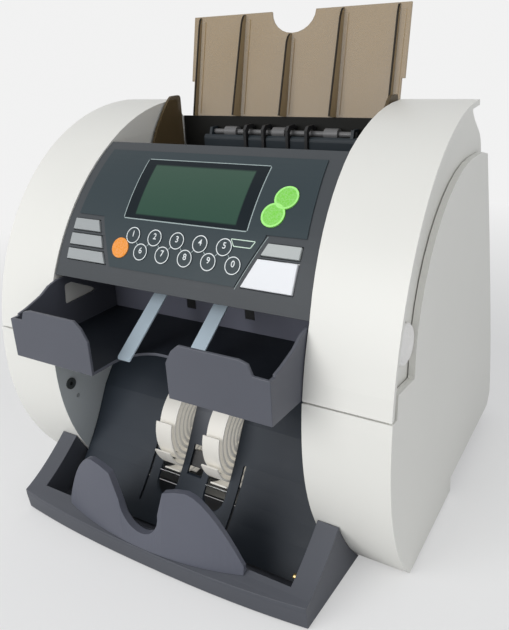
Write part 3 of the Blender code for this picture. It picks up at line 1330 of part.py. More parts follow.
def latch_button(name, side, material):
    """Round release button in the channel, with a dished face."""
    face = outer_half(LATCH[0]) - SIDE_STEP + LATCH_PROUD
    profile = [(face - LATCH_DEPTH, LATCH_RADIUS), (face - LATCH_EDGE, LATCH_RADIUS),
               (face, LATCH_RADIUS - LATCH_EDGE), (face, LATCH_DISH_RADIUS),
               (face - LATCH_DISH, LATCH_DISH_RADIUS - LATCH_DISH)]
    return lathe_x(name, [(side * x, radius) for x, radius in profile], LATCH, material, (side * face, *LATCH))


def rear_cover(material):
    """Rear cover of the base with its vents, inlet hole and switch hole."""
    line = rear_line(PARTING_LOW_Z, REAR_FOOT[1]) + [REAR_HEEL]
    setback = PANEL_THICKNESS + GAP
    cover = prism_x("rear_cover", strip(line, WALL), beside(-1, setback), beside(1, setback), material)
    for count in range(VENT_COUNT):
        z = VENT_Z + (count - (VENT_COUNT - 1) / 2) * VENT_PITCH
        slot = rounded(box((-VENT_LENGTH / 2, z - VENT_WIDTH / 2), (VENT_LENGTH / 2, z + VENT_WIDTH / 2)),
                       VENT_CORNER, 3)
        cut(cover, prism_y("vent", slot, CREST_Y, REAR_Y + OVERRUN))
    for x, half_width, half_height in ((INLET_X, INLET_WIDTH / 2 + KEY_CLEARANCE,
                                        INLET_HEIGHT / 2 + KEY_CLEARANCE),
                                       (SWITCH_X, SWITCH_HALF_WIDTH + KEY_CLEARANCE,
                                        SWITCH_HALF_HEIGHT + KEY_CLEARANCE)):
        hole = box((x - half_width, INLET_Z - half_height), (x + half_width, INLET_Z + half_height))
        cut(cover, prism_y("rear_hole", hole, CREST_Y, REAR_Y + OVERRUN))
    return cover


def rear_mark(z):
    """Depth and slope of the rear face at a level."""
    above, below = rear_point(rear_share(z + INLET_BORDER)), rear_point(rear_share(z - INLET_BORDER))
    return rear_point(rear_share(z))[0], math.atan2(below[0] - above[0], above[1] - below[1])


def power_inlet(material):
    """Inlet in the rear cover, leaning with the rear face, and its three blades."""
    y, slope = rear_mark(INLET_Z)
    half_width, half_height = INLET_WIDTH / 2, INLET_HEIGHT / 2
    bottom = INLET_FLANGE - INLET_WELL
    body = prism_y("power_inlet", box((-half_width, -half_height), (half_width, half_height)),
                   -INLET_DEPTH, INLET_FLANGE, material)
    flange = prism_y("inlet_flange", box((-half_width - INLET_BORDER, -half_height - INLET_BORDER),
                                         (half_width + INLET_BORDER, half_height + INLET_BORDER)),
                     GAP, INLET_FLANGE + GAP)
    well = rounded(box((INLET_WALL - half_width, INLET_WALL - half_height),
                       (half_width - INLET_WALL, half_height - INLET_WALL)), INLET_WALL, 2)
    tools = [flange, prism_y("inlet_well", well, bottom, INLET_FLANGE + OVERRUN)]
    join(body, tools[0])
    cut(body, tools[1])
    for place in (-1, 0, 1):
        blade = box((place * BLADE_X - BLADE_WIDTH / 2, -BLADE_HEIGHT / 2),
                    (place * BLADE_X + BLADE_WIDTH / 2, BLADE_HEIGHT / 2))
        tools.append(prism_y("inlet_blade", blade, bottom - INLET_WALL, bottom + BLADE_LENGTH))
        join(body, tools[-1])
    for piece in [body] + tools:
        piece.location = (INLET_X, y, INLET_Z)
        piece.rotation_euler = (slope, 0, 0)
    return body


def power_switch(material):
    """Rocker in the rear cover, turning about its middle."""
    y, _ = rear_mark(INLET_Z)
    height = SWITCH_HALF_HEIGHT - GAP
    outline = [(y - SWITCH_DEPTH, INLET_Z - height / 2), (y, INLET_Z - height),
               (y + SWITCH_BULGE, INLET_Z - height + SWITCH_BULGE), (y, INLET_Z),
               (y - SWITCH_BULGE / 2, INLET_Z + height), (y - SWITCH_DEPTH, INLET_Z + height / 2)]
    return prism_x("power_switch", outline, SWITCH_X - SWITCH_HALF_WIDTH, SWITCH_X + SWITCH_HALF_WIDTH, material,
                   (SWITCH_X, y - SWITCH_DEPTH / 2, INLET_Z))


def service_socket(material):
    """Round socket on the left wall of the stacker bay."""
    wall = INNER_HALF_LOW - GAP
    profile = [(SOCKET_PROUD - wall, SOCKET_SHANK / 2), (SOCKET_PROUD - wall, SOCKET_RADIUS),
               (GAP - wall, SOCKET_RADIUS), (GAP - wall, SOCKET_SHANK), (-WALL - wall, SOCKET_SHANK),
               (-WALL - wall, SOCKET_SHANK / 2)]
    return lathe_x("service_socket", profile, SOCKET, material, hollow=True)


def build_base(looks):
    """Pieces of the base that stand still."""
    left = lower_cover("left_lower_cover", -1, looks["shell"])
    radius = SOCKET_SHANK + GAP
    cut(left, lathe_x("socket_hole", [(OVERRUN - INNER_HALF_LOW, radius),
                                      (-INNER_HALF_LOW - WALL - OVERRUN, radius)], SOCKET))
    pieces = [left, lower_cover("right_lower_cover", 1, looks["shell"]), rear_cover(looks["shell"]),
              base_pan(looks["steel"]), *rubber_feet(looks["rubber"]), base_tray(looks["dark"]),
              stack_rest(looks["rest"]), stacker_back_plate(looks["bay"]), stack_eye(looks["black"]),
              drive_motor(looks["motor"]), drive_belt(looks["belt"]), reject_pocket(looks["pocket"]),
              reject_back_wall(looks["bay"]), reject_sensors(looks["black"]),
              service_socket(looks["socket"]), power_inlet(looks["black"])]
    for word, side in (("left", -1), ("right", 1)):
        pieces += [side_frame(word + "_side_frame", side, looks["steel"]),
                   hinge_pin(word + "_hinge_pin", side, looks["shaft"]),
                   reject_strip(word + "_reject_strip", side, looks["strip"])]
    return pieces


def build_drive(looks):
    """Turning pieces of the base."""
    return [stacker_shaft(looks["shaft"]), impeller("left_impeller", -1, looks["ivory"]),
            impeller("right_impeller", 1, looks["ivory"]),
            pulley("stacker_pulley", WHEEL, STACKER_PULLEY_RADIUS, SHAFT_RADIUS, looks["brass"]),
            motor_shaft(looks["shaft"]),
            pulley("motor_pulley", MOTOR, MOTOR_PULLEY_RADIUS, MOTOR_SHAFT_RADIUS, looks["brass"]),
            power_switch(looks["switch"])]


def build_upper(looks):
    """Pieces of the upper module, which swings up about the hinge."""
    pieces = [control_bezel(looks["dark"]), *keypad(looks["membrane"], looks["orange"], looks["lime"]),
              *display(looks["glass"], looks["screen"]), hopper_bed(looks["bay"]),
              hopper_rear_wall(looks["bay"]), feed_fingers(looks["black"]), rear_deck(looks["dark"]),
              note_plate(looks["smoke"]), guide_rail(looks["shaft"])]
    for word, side in (("left", -1), ("right", 1)):
        pieces += [upper_cover(word + "_upper_cover", side, looks["shell"]),
                   latch_button(word + "_latch_button", side, looks["latch"]),
                   note_guide(word + "_note_guide", side, looks["smoke"]),
                   roller(word + "_feed_roller", side * FEED_ROLLER_X, FEED, FEED_ROLLER_RADIUS,
                          FEED_SHAFT_RADIUS, FEED_ROLLER_WIDTH, looks["rubber"])]
    pieces += [panel_key(name, edge, row, looks["pale" if name == "start_key" else "key"])
               for name, edge, row in key_rows()]
    feed = [(-FEED_SHAFT_HALF, FEED_SHAFT_RADIUS), (FEED_SHAFT_HALF, FEED_SHAFT_RADIUS)]
    pieces += [lathe_x("feed_shaft", feed, FEED, looks["shaft"], (0, *FEED)), pickup_shaft(looks["ivory"])]
    return pieces


def make_looks():
    """Materials by role."""
    return {
        "shell": make_material("shell", (0.74, 0.73, 0.70), 0.45),
        "dark": make_material("dark_plastic", (0.055, 0.060, 0.072), 0.50),
        "rest": make_material("rest_plastic", (0.065, 0.070, 0.082), 0.50),
        "pocket": make_material("pocket_plastic", (0.050, 0.052, 0.062), 0.48),
        "bay": make_material("bay_plastic", (0.030, 0.031, 0.036), 0.50),
        "black": make_material("black_plastic", (0.012, 0.012, 0.013), 0.45),
        "membrane": make_material("membrane", (0.030, 0.033, 0.040), 0.35),
        "orange": make_material("orange_key", (0.85, 0.27, 0.04), 0.40),
        "lime": make_material("lime_key", (0.28, 0.72, 0.20), 0.40),
        "glass": make_material("display_glass", (0.10, 0.12, 0.10), 0.10),
        "screen": make_material("display_green", (0.20, 0.33, 0.22), 0.30),
        "key": make_material("grey_key", (0.30, 0.31, 0.33), 0.45),
        "pale": make_material("pale_key", (0.62, 0.63, 0.65), 0.40),
        "latch": make_material("latch_plastic", (0.66, 0.65, 0.62), 0.45),
        "smoke": make_material("smoked_plastic", (0.20, 0.15, 0.11), 0.20),
        "ivory": make_material("ivory_plastic", (0.78, 0.76, 0.70), 0.50),
        "strip": make_material("strip_plastic", (0.70, 0.74, 0.76), 0.30),
        "steel": make_material("plated_steel", (0.45, 0.46, 0.47), 0.40, 1.0),
        "shaft": make_material("ground_steel", (0.55, 0.56, 0.58), 0.25, 1.0),
        "brass": make_material("brass", (0.70, 0.52, 0.22), 0.35, 1.0),
        "motor": make_material("motor_steel", (0.22, 0.22, 0.23), 0.40, 1.0),
        "belt": make_material("belt_rubber", (0.02, 0.02, 0.02), 0.80),
        "rubber": make_material("soft_rubber", (0.05, 0.05, 0.05), 0.85),
        "socket": make_material("socket_plastic", (0.03, 0.06, 0.05), 0.40),
        "switch": make_material("switch_plastic", (0.04, 0.04, 0.045), 0.35),
    }


def main():
    """Build the sorter."""
    clear_scene()
    looks = make_looks()
    base = pivot("sorter_base", (0, 0, 0))
    upper = pivot("upper_module", (0, *HINGE))
    hold(base, *build_base(looks), *build_drive(looks))
    hold(upper, *build_upper(looks))


main()
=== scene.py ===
"""Looks of a two-pocket banknote sorter: moulded covers, smoked note plate, printed keypad, soft studio light."""

import json
import logging
import math
from dataclasses import dataclass, field
from enum import Enum
from typing import Any, Callable, Optional, Sequence

import bmesh
import bpy
import numpy as np
from mathutils import Matrix, Vector

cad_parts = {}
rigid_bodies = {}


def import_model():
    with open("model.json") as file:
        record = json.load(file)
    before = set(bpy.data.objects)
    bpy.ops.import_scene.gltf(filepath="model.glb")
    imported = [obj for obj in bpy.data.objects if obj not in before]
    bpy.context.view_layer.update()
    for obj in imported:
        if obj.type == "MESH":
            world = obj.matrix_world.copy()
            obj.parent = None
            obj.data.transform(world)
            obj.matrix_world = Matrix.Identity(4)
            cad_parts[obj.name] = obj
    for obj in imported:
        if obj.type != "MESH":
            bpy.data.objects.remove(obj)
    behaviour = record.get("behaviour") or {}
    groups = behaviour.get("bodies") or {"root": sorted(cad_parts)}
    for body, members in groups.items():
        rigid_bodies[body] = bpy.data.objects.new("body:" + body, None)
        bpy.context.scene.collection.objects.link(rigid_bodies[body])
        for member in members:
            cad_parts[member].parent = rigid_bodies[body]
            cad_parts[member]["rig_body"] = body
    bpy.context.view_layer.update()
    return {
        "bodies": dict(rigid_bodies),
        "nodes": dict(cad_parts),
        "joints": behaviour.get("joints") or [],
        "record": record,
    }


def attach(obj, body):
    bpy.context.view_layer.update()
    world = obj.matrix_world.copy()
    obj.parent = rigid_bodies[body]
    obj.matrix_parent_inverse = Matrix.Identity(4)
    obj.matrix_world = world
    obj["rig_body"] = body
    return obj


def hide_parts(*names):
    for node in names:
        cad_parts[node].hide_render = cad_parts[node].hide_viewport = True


LOG = logging.getLogger("banknote_sorter")
Colour = tuple[float, float, float]
Pair = tuple[float, float]
Pairs = tuple[Pair, ...]
Array = np.ndarray
MIDDLE = (0.3, 0.7)  # the stretch in which most values of a noise lie
SHARP = math.radians(30)


@dataclass
class Wire:
    """An output socket that can be used in arithmetic, with the shop that adds the further nodes."""

    shop: "NodeShop"
    socket: bpy.types.NodeSocket

    def _math(self, operation: str, *others: Any) -> "Wire":
        """Add one Math node.

        Args:
            operation: The Math node's operation.
            others: Values or wires in socket order.

        Returns:
            The node's output.
        """
        return self.shop.node("ShaderNodeMath", {"operation": operation}, dict(enumerate(others)))

    def __add__(self, other: Any) -> "Wire":
        """Sum."""
        return self._math("ADD", self, other)

    def __radd__(self, other: Any) -> "Wire":
        """Sum with a number in front."""
        return self._math("ADD", other, self)

    def __sub__(self, other: Any) -> "Wire":
        """Difference."""
        return self._math("SUBTRACT", self, other)

    def __rsub__(self, other: Any) -> "Wire":
        """Difference from a number."""
        return self._math("SUBTRACT", other, self)

    def __mul__(self, other: Any) -> "Wire":
        """Product."""
        return self._math("MULTIPLY", self, other)

    def __rmul__(self, other: Any) -> "Wire":
        """Product with a number in front."""
        return self._math("MULTIPLY", other, self)

    def __abs__(self) -> "Wire":
        """Size without sign."""
        return self._math("ABSOLUTE", self)

    def beside(self, output: Any) -> "Wire":
        """Another output of the node that this one comes from.

        Args:
            output: The output socket's name or number.

        Returns:
            That output as a wire.
        """
        return Wire(self.shop, self.socket.node.outputs[output])

    def clamp(self, low: float, high: float) -> "Wire":
        """Spread the range from low to high over 0 to 1, clamped.

        Args:
            low: Value that becomes 0.
            high: Value that becomes 1.

        Returns:
            The mask.
        """
        return self.shop.node("ShaderNodeMapRange", {"clamp": True}, {0: self, 1: low, 2: high})


@dataclass
class NodeShop:
    """Makes the nodes of one node tree."""

    tree: bpy.types.NodeTree

    def node(self, kind: str, settings: Optional[dict] = None, inputs: Optional[dict] = None,
             output: Any = 0) -> Wire:
        """Add a node, set its settings first and then its inputs.

        Args:
            kind: The node's type.
            settings: The node's attributes.
            inputs: Values or wires by socket name or number.
            output: The output socket to hand back.

        Returns:
            The chosen output as a wire.
        """
        made = self.tree.nodes.new(kind)
        for name, value in (settings or {}).items():
            setattr(made, name, value)
        for place, value in (inputs or {}).items():
            self.feed(made.inputs[place], value)
        return Wire(self, made.outputs[output])

    def feed(self, socket: bpy.types.NodeSocket, value: Any) -> None:
        """Link a wire to a socket, or write a value there.

        Args:
            socket: The input.
            value: A wire, a number, or a colour.
        """
        if isinstance(value, Wire):
            self.tree.links.new(value.socket, socket)
        elif isinstance(value, tuple) and len(value) == 3 and socket.type == "RGBA":
            socket.default_value = (*value, 1.0)
        else:
            socket.default_value = value

    def place(self) -> Wire:
        """Object coordinates."""
        return self.node("ShaderNodeTexCoord", output="Object")

    def axes(self) -> tuple[Wire, Wire, Wire]:
        """Object coordinates as three wires."""
        split = self.node("ShaderNodeSeparateXYZ", inputs={0: self.place()})
        return tuple(split.beside(axis) for axis in range(3))

    def noise(self, scale: float, detail: float = 2.0, roughness: float = 0.5) -> Wire:
        """Noise over object coordinates.

        Args:
            scale: Blobs per metre.
            detail: Octaves.
            roughness: Share of the fine octaves.

        Returns:
            A value about 0.5.
        """
        return self.node("ShaderNodeTexNoise", {"noise_dimensions": "3D"},
                         {"Vector": self.place(), "Scale": scale, "Detail": detail, "Roughness": roughness})

    def blend(self, share: Any, first: Any, second: Any) -> Wire:
        """Mix two colours.

        Args:
            share: 0 for the first, 1 for the second.
            first: A colour or wire.
            second: A colour or wire.

        Returns:
            The mixed colour.
        """
        return self.node("ShaderNodeMix", {"data_type": "RGBA"}, {0: share, 6: first, 7: second}, output=2)

    def bump(self, height: Wire, depth: float, strength: float) -> Wire:
        """Turn a height into a normal.

        Args:
            height: The height's wire.
            depth: Metres from 0 to 1.
            strength: How much of it shows.

        Returns:
            The normal.
        """
        return self.node("ShaderNodeBump", inputs={"Height": height, "Distance": depth, "Strength": strength})


@dataclass(frozen=True)
class Finish:
    """A material recipe: subclasses say what feeds the shader."""

    name: str
    colour: Colour
    roughness: float

    def sockets(self, shop: NodeShop) -> dict:
        """Inputs of the Principled shader.

        Args:
            shop: The maker for this material's nodes.

        Returns:
            Values or wires by socket name.
        """
        return {"Base Color": self.colour, "Roughness": self.roughness}

    def make(self) -> bpy.types.Material:
        """Build the material once.

        Returns:
            The Blender material.
        """
        known = bpy.data.materials.get("look_" + self.name)
        if known:
            return known
        made = bpy.data.materials.new("look_" + self.name)
        made.use_nodes = True
        shop = NodeShop(made.node_tree)
        shader = made.node_tree.nodes["Principled BSDF"]
        for place, value in self.sockets(shop).items():
            shop.feed(shader.inputs[place], value)
        return made


@dataclass(frozen=True)
class Moulded(Finish):
    """Injection-moulded plastic with a fine grain, faint mottling and spots worn smooth, and, where set, painted
    emission that brightens it as if lit.
    """

    mottle: float = 0.06
    grain: float = 2600.0
    depth: float = 0.00004
    rub: float = 0.05
    specular: float = 0.45
    # Strength of painted emission: painted light, not a lamp.
    painted_glow: float = 0.0
    clouds: float = 9.0
    spots: float = 60.0
    relief: float = 0.6

    def sockets(self, shop: NodeShop) -> dict:
        """Grain by fine noise, mottling and rubbing by broad noise."""
        broad = shop.noise(self.clouds, 3.0)
        fine = shop.noise(self.grain, 1.0)
        light = tuple(min(value * (1 + self.mottle), 1.0) for value in self.colour)
        dark = tuple(value * (1 - self.mottle) for value in self.colour)
        wear_and_painted_light = shop.noise(self.spots, 4.0, 0.65).clamp(0.55, 0.75)
        return {
            "Base Color": shop.blend(broad.clamp(*MIDDLE), dark, light),
            "Roughness": self.roughness - self.rub * wear_and_painted_light,
            "Specular IOR Level": self.specular,
            # Painted light: emission brightens the part wherever its strength is set.
            "Emission Color": self.colour,
            "Emission Strength": self.painted_glow,
            "Normal": shop.bump(fine, self.depth, self.relief),
        }


@dataclass(frozen=True)
class BayFace(Moulded):
    """Bay wall: its middle strip between the wheels is painted lighter towards the top, a painted highlight, and its
    right side is painted darker, a painted shade.
    """

    # Colour of the painted highlight on the middle strip; the next colour is the painted shade on the right side.
    wear_and_painted_light: Colour = (0.110, 0.118, 0.138)
    shaded: Colour = (0.009, 0.014, 0.022)
    turn: Pair = (0.028, 0.070)
    half: float = 0.0140
    soft: float = 0.0015
    rise: Pair = (0.050, 0.085)
    shade: float = 0.8

    def sockets(self, shop: NodeShop) -> dict:
        """Painted highlight by distance from the middle across and by height, then painted shade by place across."""
        made = super().sockets(shop)
        across, _, up = shop.axes()
        middle = (self.half - abs(across)).clamp(0.0, self.soft)
        # Painted highlight: the middle strip between the wheels, lighter higher up.
        lit = shop.blend(middle * up.clamp(*self.rise), made["Base Color"], self.wear_and_painted_light)
        # Painted shade: darker towards the right side.
        made["Base Color"] = shop.blend(across.clamp(*self.turn) * self.shade, lit, self.shaded)
        return made


@dataclass(frozen=True)
class Smoked(Finish):
    """Tinted clear plastic: see-through brown, with fine hairline wear."""

    alpha: float = 0.78
    hairlines: float = 700.0
    clouds: float = 12.0
    paler: float = 1.2
    specular: float = 0.15

    def sockets(self, shop: NodeShop) -> dict:
        """Tint varies a little, and hairlines brighten it."""
        hairs = shop.noise(self.hairlines, 3.0, 0.6).clamp(0.62, 0.85)
        tint = tuple(min(value * self.paler, 1.0) for value in self.colour)
        return {
            "Base Color": shop.blend(hairs * 0.3, self.colour, tint),
            "Roughness": self.roughness + 0.08 * hairs,
            "Alpha": self.alpha + 0.03 * shop.noise(self.clouds).clamp(*MIDDLE),
            "Specular IOR Level": self.specular,
        }


@dataclass(frozen=True)
class Metal(Finish):
    """Plated, ground or turned metal with brushed streaks."""

    streak: float = 900.0
    depth: float = 0.00002
    stretch: tuple[float, float, float] = (0.05, 1.0, 1.0)

    def sockets(self, shop: NodeShop) -> dict:
        """Streaks run along X: noise stretched by scaling the coordinates."""
        stretched = shop.node("ShaderNodeMapping", inputs={"Vector": shop.place(), "Scale": self.stretch})
        streaks = shop.node("ShaderNodeTexNoise", inputs={"Vector": stretched, "Scale": self.streak, "Detail": 3.0})
        return {
            "Base Color": self.colour, "Metallic": 1.0,
            "Roughness": self.roughness + 0.12 * streaks.clamp(*MIDDLE),
            "Normal": shop.bump(streaks, self.depth, 0.5),
        }


@dataclass(frozen=True)
class Screen(Finish):
    """Display seen through its pane: dull green field inside a near-black border."""

    border: Colour = (0.003, 0.008, 0.012)
    lower: Colour = (0.025, 0.068, 0.046)
    speck: Colour = (0.05, 0.09, 0.07)
    half: float = 0.0446
    low: float = 0.2401
    high: float = 0.2714
    soft: float = 0.0011
    cells: float = 1500.0

    def sockets(self, shop: NodeShop) -> dict:
        """Field by distance from the middle in X and Z, darker towards its lower edge, and fading softly into the
        border at its edges, a painted shade from the window's frame.
        """
        across, _, up = shop.axes()
        # Painted shade: the field darkens softly over the last millimetre inside each edge.
        sides = (self.half - abs(across)).clamp(0.0, self.soft)
        inside = sides * (up - self.low).clamp(0.0, self.soft) * (self.high - up).clamp(0.0, self.soft)
        cells = shop.noise(self.cells, 1.0).clamp(0.2, 0.8)
        plain = shop.blend(up.clamp(self.high, self.low), self.colour, self.lower)
        return {
            "Base Color": shop.blend(inside, self.border, shop.blend(cells * 0.10, plain, self.speck)),
            "Roughness": self.roughness, "Coat Weight": 0.05, "Coat Roughness": 0.12, "Specular IOR Level": 0.12,
        }


@dataclass(frozen=True)
class Lens(Finish):
    """Coloured membrane key with the fine dots of its print."""

    dots: float = 900.0
    fade: float = 0.12

    def sockets(self, shop: NodeShop) -> dict:
        """Paler dots over one colour."""
        dots = shop.noise(self.dots, 2.0).clamp(0.35, 0.65)
        paler = tuple(value + (1.0 - value) * self.fade for value in self.colour)
        return {"Base Color": shop.blend(dots, self.colour, paler), "Roughness": self.roughness,
                "Coat Weight": 0.04, "Coat Roughness": 0.3, "Specular IOR Level": 0.14}


class Look(Enum):
    """Every finish on the sorter."""

    SHELL = Moulded("shell", (0.76, 0.755, 0.715), 0.42, mottle=0.012, grain=1900.0, depth=0.00003, rub=0.04)
    # Painted shade: a darker, bluer copy of the shell for the lower covers' walls inside the bay.
    BAY_WALL_SHADE = Moulded("bay_wall_shade", (0.60, 0.64, 0.655), 0.50, mottle=0.03)
    BEZEL = Moulded("bezel", (0.047, 0.053, 0.059), 0.50, mottle=0.06, specular=0.30)
    SLATE = Moulded("slate", (0.068, 0.073, 0.088), 0.46, mottle=0.07)
    DECK = Moulded("deck", (0.006, 0.006, 0.005), 0.55, mottle=0.08, specular=0.20)
    REST = Moulded("rest", (0.097, 0.103, 0.131), 0.48, mottle=0.06)
    POCKET = Moulded("pocket", (0.078, 0.083, 0.103), 0.44, mottle=0.06)
    # Painted shade: the reject pocket's inner floor, darker than the pocket moulding it is part of.
    POCKET_FLOOR_SHADE = Moulded("pocket_floor_shade", (0.012, 0.015, 0.021), 0.55, mottle=0.08, specular=0.25)
    BACK_WALL = Moulded("back_wall", (0.150, 0.156, 0.200), 0.50, mottle=0.06)
    # Bay wall with a painted highlight on its middle strip and painted shade on its right side.
    BAY = BayFace("bay", (0.018, 0.026, 0.038), 0.54, mottle=0.08, specular=0.32)
    HOPPER = Moulded("hopper", (0.014, 0.021, 0.027), 0.50, mottle=0.08, specular=0.30)
    BLACK = Moulded("black", (0.012, 0.012, 0.013), 0.45, mottle=0.12)
    MEMBRANE = Moulded("membrane", (0.021, 0.035, 0.042), 0.44, mottle=0.04, grain=5200.0, depth=0.00002,
                       specular=0.28)
    ORANGE = Lens("orange", (0.82, 0.275, 0.012), 0.42)
    LIME = Lens("lime", (0.20, 0.64, 0.07), 0.42)
    LIME_RIM = Lens("lime_rim", (0.36, 0.86, 0.20), 0.45)
    SCREEN = Screen("screen", (0.044, 0.088, 0.063), 0.36)
    GREY_KEY = Moulded("grey_key", (0.32, 0.34, 0.345), 0.42, mottle=0.03)
    PALE_KEY = Moulded("pale_key", (0.41, 0.435, 0.43), 0.38, mottle=0.03)
    WHITE_KEY = Moulded("white_key", (0.75, 0.765, 0.79), 0.38, mottle=0.02)
    LATCH = Moulded("latch", (0.84, 0.83, 0.81), 0.40, mottle=0.02)
    SMOKE = Smoked("smoke", (0.290, 0.190, 0.072), 0.30, alpha=0.60)
    FIN = Smoked("fin", (0.330, 0.250, 0.145), 0.32, alpha=0.86)
    FIN_EDGE = Smoked("fin_edge", (0.012, 0.009, 0.005), 0.50, alpha=0.97)
    GUIDE = Smoked("guide", (0.098, 0.070, 0.036), 0.30, alpha=0.84)
    # Painted light: emission brightens the vanes' shaded sides.
    IVORY = Moulded("ivory", (0.70, 0.68, 0.63), 0.50, mottle=0.03, painted_glow=0.23)
    SPINDLE = Moulded("spindle", (0.130, 0.130, 0.132), 0.40, mottle=0.06)
    STRIP = Smoked("strip", (0.45, 0.54, 0.61), 0.34, alpha=0.94)
    STEEL = Metal("steel", (0.52, 0.53, 0.54), 0.32)
    SHAFT = Metal("shaft", (0.60, 0.61, 0.62), 0.22)
    BRASS = Metal("brass", (0.72, 0.53, 0.22), 0.28)
    MOTOR = Metal("motor", (0.20, 0.20, 0.21), 0.36)
    BELT = Moulded("belt", (0.018, 0.018, 0.018), 0.80, mottle=0.2, grain=1200.0, depth=0.0001)
    RUBBER = Moulded("rubber", (0.045, 0.045, 0.045), 0.85, mottle=0.2, grain=1500.0, depth=0.0001)
    SOCKET = Moulded("socket", (0.055, 0.062, 0.062), 0.34, mottle=0.1)
    ROCKER = Moulded("rocker", (0.030, 0.030, 0.034), 0.30, mottle=0.1)
    INK = Moulded("ink", (0.72, 0.76, 0.77), 0.50, mottle=0.03, depth=0.00001)
    FRAME_INK = Moulded("frame_ink", (0.33, 0.40, 0.40), 0.50, mottle=0.03, depth=0.00001)
    LIME_INK = Moulded("lime_ink", (0.62, 0.78, 0.66), 0.45, mottle=0.03, depth=0.00001)


PLAIN_DRESS: dict[Look, tuple[str, ...]] = {
    Look.STEEL: ("base_pan", "left_side_frame", "right_side_frame"),
    Look.BAY: ("stacker_back_plate",),
    Look.BLACK: ("stack_sensor", "reject_sensors", "power_inlet", "feed_fingers"),
    Look.MOTOR: ("drive_motor",),
    Look.BELT: ("drive_belt",),
    Look.BACK_WALL: ("reject_back_wall",),
    Look.SOCKET: ("service_socket",),
    Look.SHAFT: ("left_hinge_pin", "right_hinge_pin", "stacker_shaft", "motor_shaft", "guide_rail", "feed_shaft"),
    Look.BRASS: ("stacker_pulley", "motor_pulley"),
    Look.ROCKER: ("power_switch",),
    Look.MEMBRANE: ("keypad_membrane",),
    Look.ORANGE: ("menu_key",),
    Look.LIME: ("round_keys",),
    Look.SCREEN: ("display_window", "display_screen"),
    Look.HOPPER: ("hopper_bed", "hopper_rear_wall"),
    Look.SPINDLE: ("pickup_shaft",),
    Look.STRIP: ("left_reject_strip", "right_reject_strip"),
    Look.SHELL: ("rear_cover",),
    Look.RUBBER: ("left_feed_roller", "right_feed_roller", "front_left_foot", "front_right_foot",
                  "rear_left_foot", "rear_right_foot"),
}


def placed(name: str, data: bpy.types.ID) -> bpy.types.Object:
    """Put a new object in the scene.

    Args:
        name: Its name.
        data: Its mesh, text, camera or lamp.

    Returns:
        The object.
    """
    made = bpy.data.objects.new(name, data)
    bpy.context.scene.collection.objects.link(made)
    return made


def outward(verts: Array, faces: Array) -> Array:
    """Faces turned, if need be, so that together they look out: signed volume of their cones from the origin.

    Args:
        verts: Points, one row each, in metres.
        faces: Corner numbers, one row each.

    Returns:
        The faces as they were, or all of them reversed.
    """
    corners = verts[faces]
    cones = [np.einsum("ij,ij->", corners[:, 0], np.cross(corners[:, near], corners[:, near + 1]))
             for near in range(1, faces.shape[1] - 1)]
    return faces if sum(cones) > 0 else faces[:, ::-1]


def mesh_piece(name: str, verts: Array, faces: Array, look: Look, body: str,
               smooth: bool = True) -> bpy.types.Object:
    """Make a piece from arrays and hang it on its body.

    Args:
        name: The piece's name.
        verts: Points, one row each, in metres.
        faces: Corner numbers, one row each.
        look: Its finish.
        body: The CAD body that carries it.
        smooth: Whether it is shaded smooth.

    Returns:
        The object.
    """
    mesh = bpy.data.meshes.new(name)
    mesh.from_pydata(verts.tolist(), [], outward(verts, faces).tolist())
    mesh.polygons.foreach_set("use_smooth", np.full(len(mesh.polygons), smooth))
    if smooth:
        mesh.set_sharp_from_angle(angle=SHARP)
    mesh.materials.append(look.value.make())
    made = placed(name, mesh)
    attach(made, body)
    return made


def grid_faces(rows: int, columns: int, wrap_rows: bool = False, wrap_columns: bool = False) -> Array:
    """Quads of a grid of rows by columns: corner (i, j) has number i * columns + j.

    Args:
        rows: Points along the first parameter.
        columns: Points along the second parameter.
        wrap_rows: Whether the last row meets the first.
        wrap_columns: Whether the last column meets the first.

    Returns:
        The quads.
    """
    i = np.arange(rows if wrap_rows else rows - 1)[:, None]
    j = np.arange(columns if wrap_columns else columns - 1)[None, :]
    near, far = i * columns, (i + 1) % rows * columns
    left, right = j, (j + 1) % columns
    corners = (near + left, near + right, far + right, far + left)
    return np.stack([np.broadcast_to(part, (i.size, j.size)).ravel() for part in corners], axis=1)


def swept_boxes(sections: Array) -> tuple[Array, Array]:
    """Closed boxes, each swept through its own run of four-cornered sections.

    Args:
        sections: The corners, by box, step, corner and coordinate.

    Returns:
        Points and quads.
    """
    count, steps = sections.shape[:2]
    start, end = np.arange(4)[::-1], np.arange(4) + (steps - 1) * 4
    one = np.vstack([grid_faces(steps, 4, wrap_columns=True), start, end])
    faces = one + steps * 4 * np.arange(count)[:, None, None]
    return sections.reshape(-1, 3), faces.reshape(-1, 4)


def turned(name: str, profile: Sequence[Pair], centre: Pair, look: Look, body: str,
           sides: int = 40) -> bpy.types.Object:
    """Closed profile of (x, radius) turned about an axis along X: y and z are the radius times cosine and sine.

    Args:
        name: The piece's name.
        profile: The profile's corners in order.
        centre: The axis's (y, z).
        look: Its finish.
        body: The CAD body that carries it.
        sides: Points around.

    Returns:
        The object.
    """
    x, radius = np.array(profile).T[:, :, None]
    turn = np.linspace(0, math.tau, sides, endpoint=False)[None, :]
    y, z = centre[0] + radius * np.cos(turn), centre[1] + radius * np.sin(turn)
    verts = np.stack(np.broadcast_arrays(x, y, z), axis=-1)
    faces = grid_faces(len(profile), sides, wrap_rows=True, wrap_columns=True)
    return mesh_piece(name, verts.reshape(-1, 3), faces, look, body)


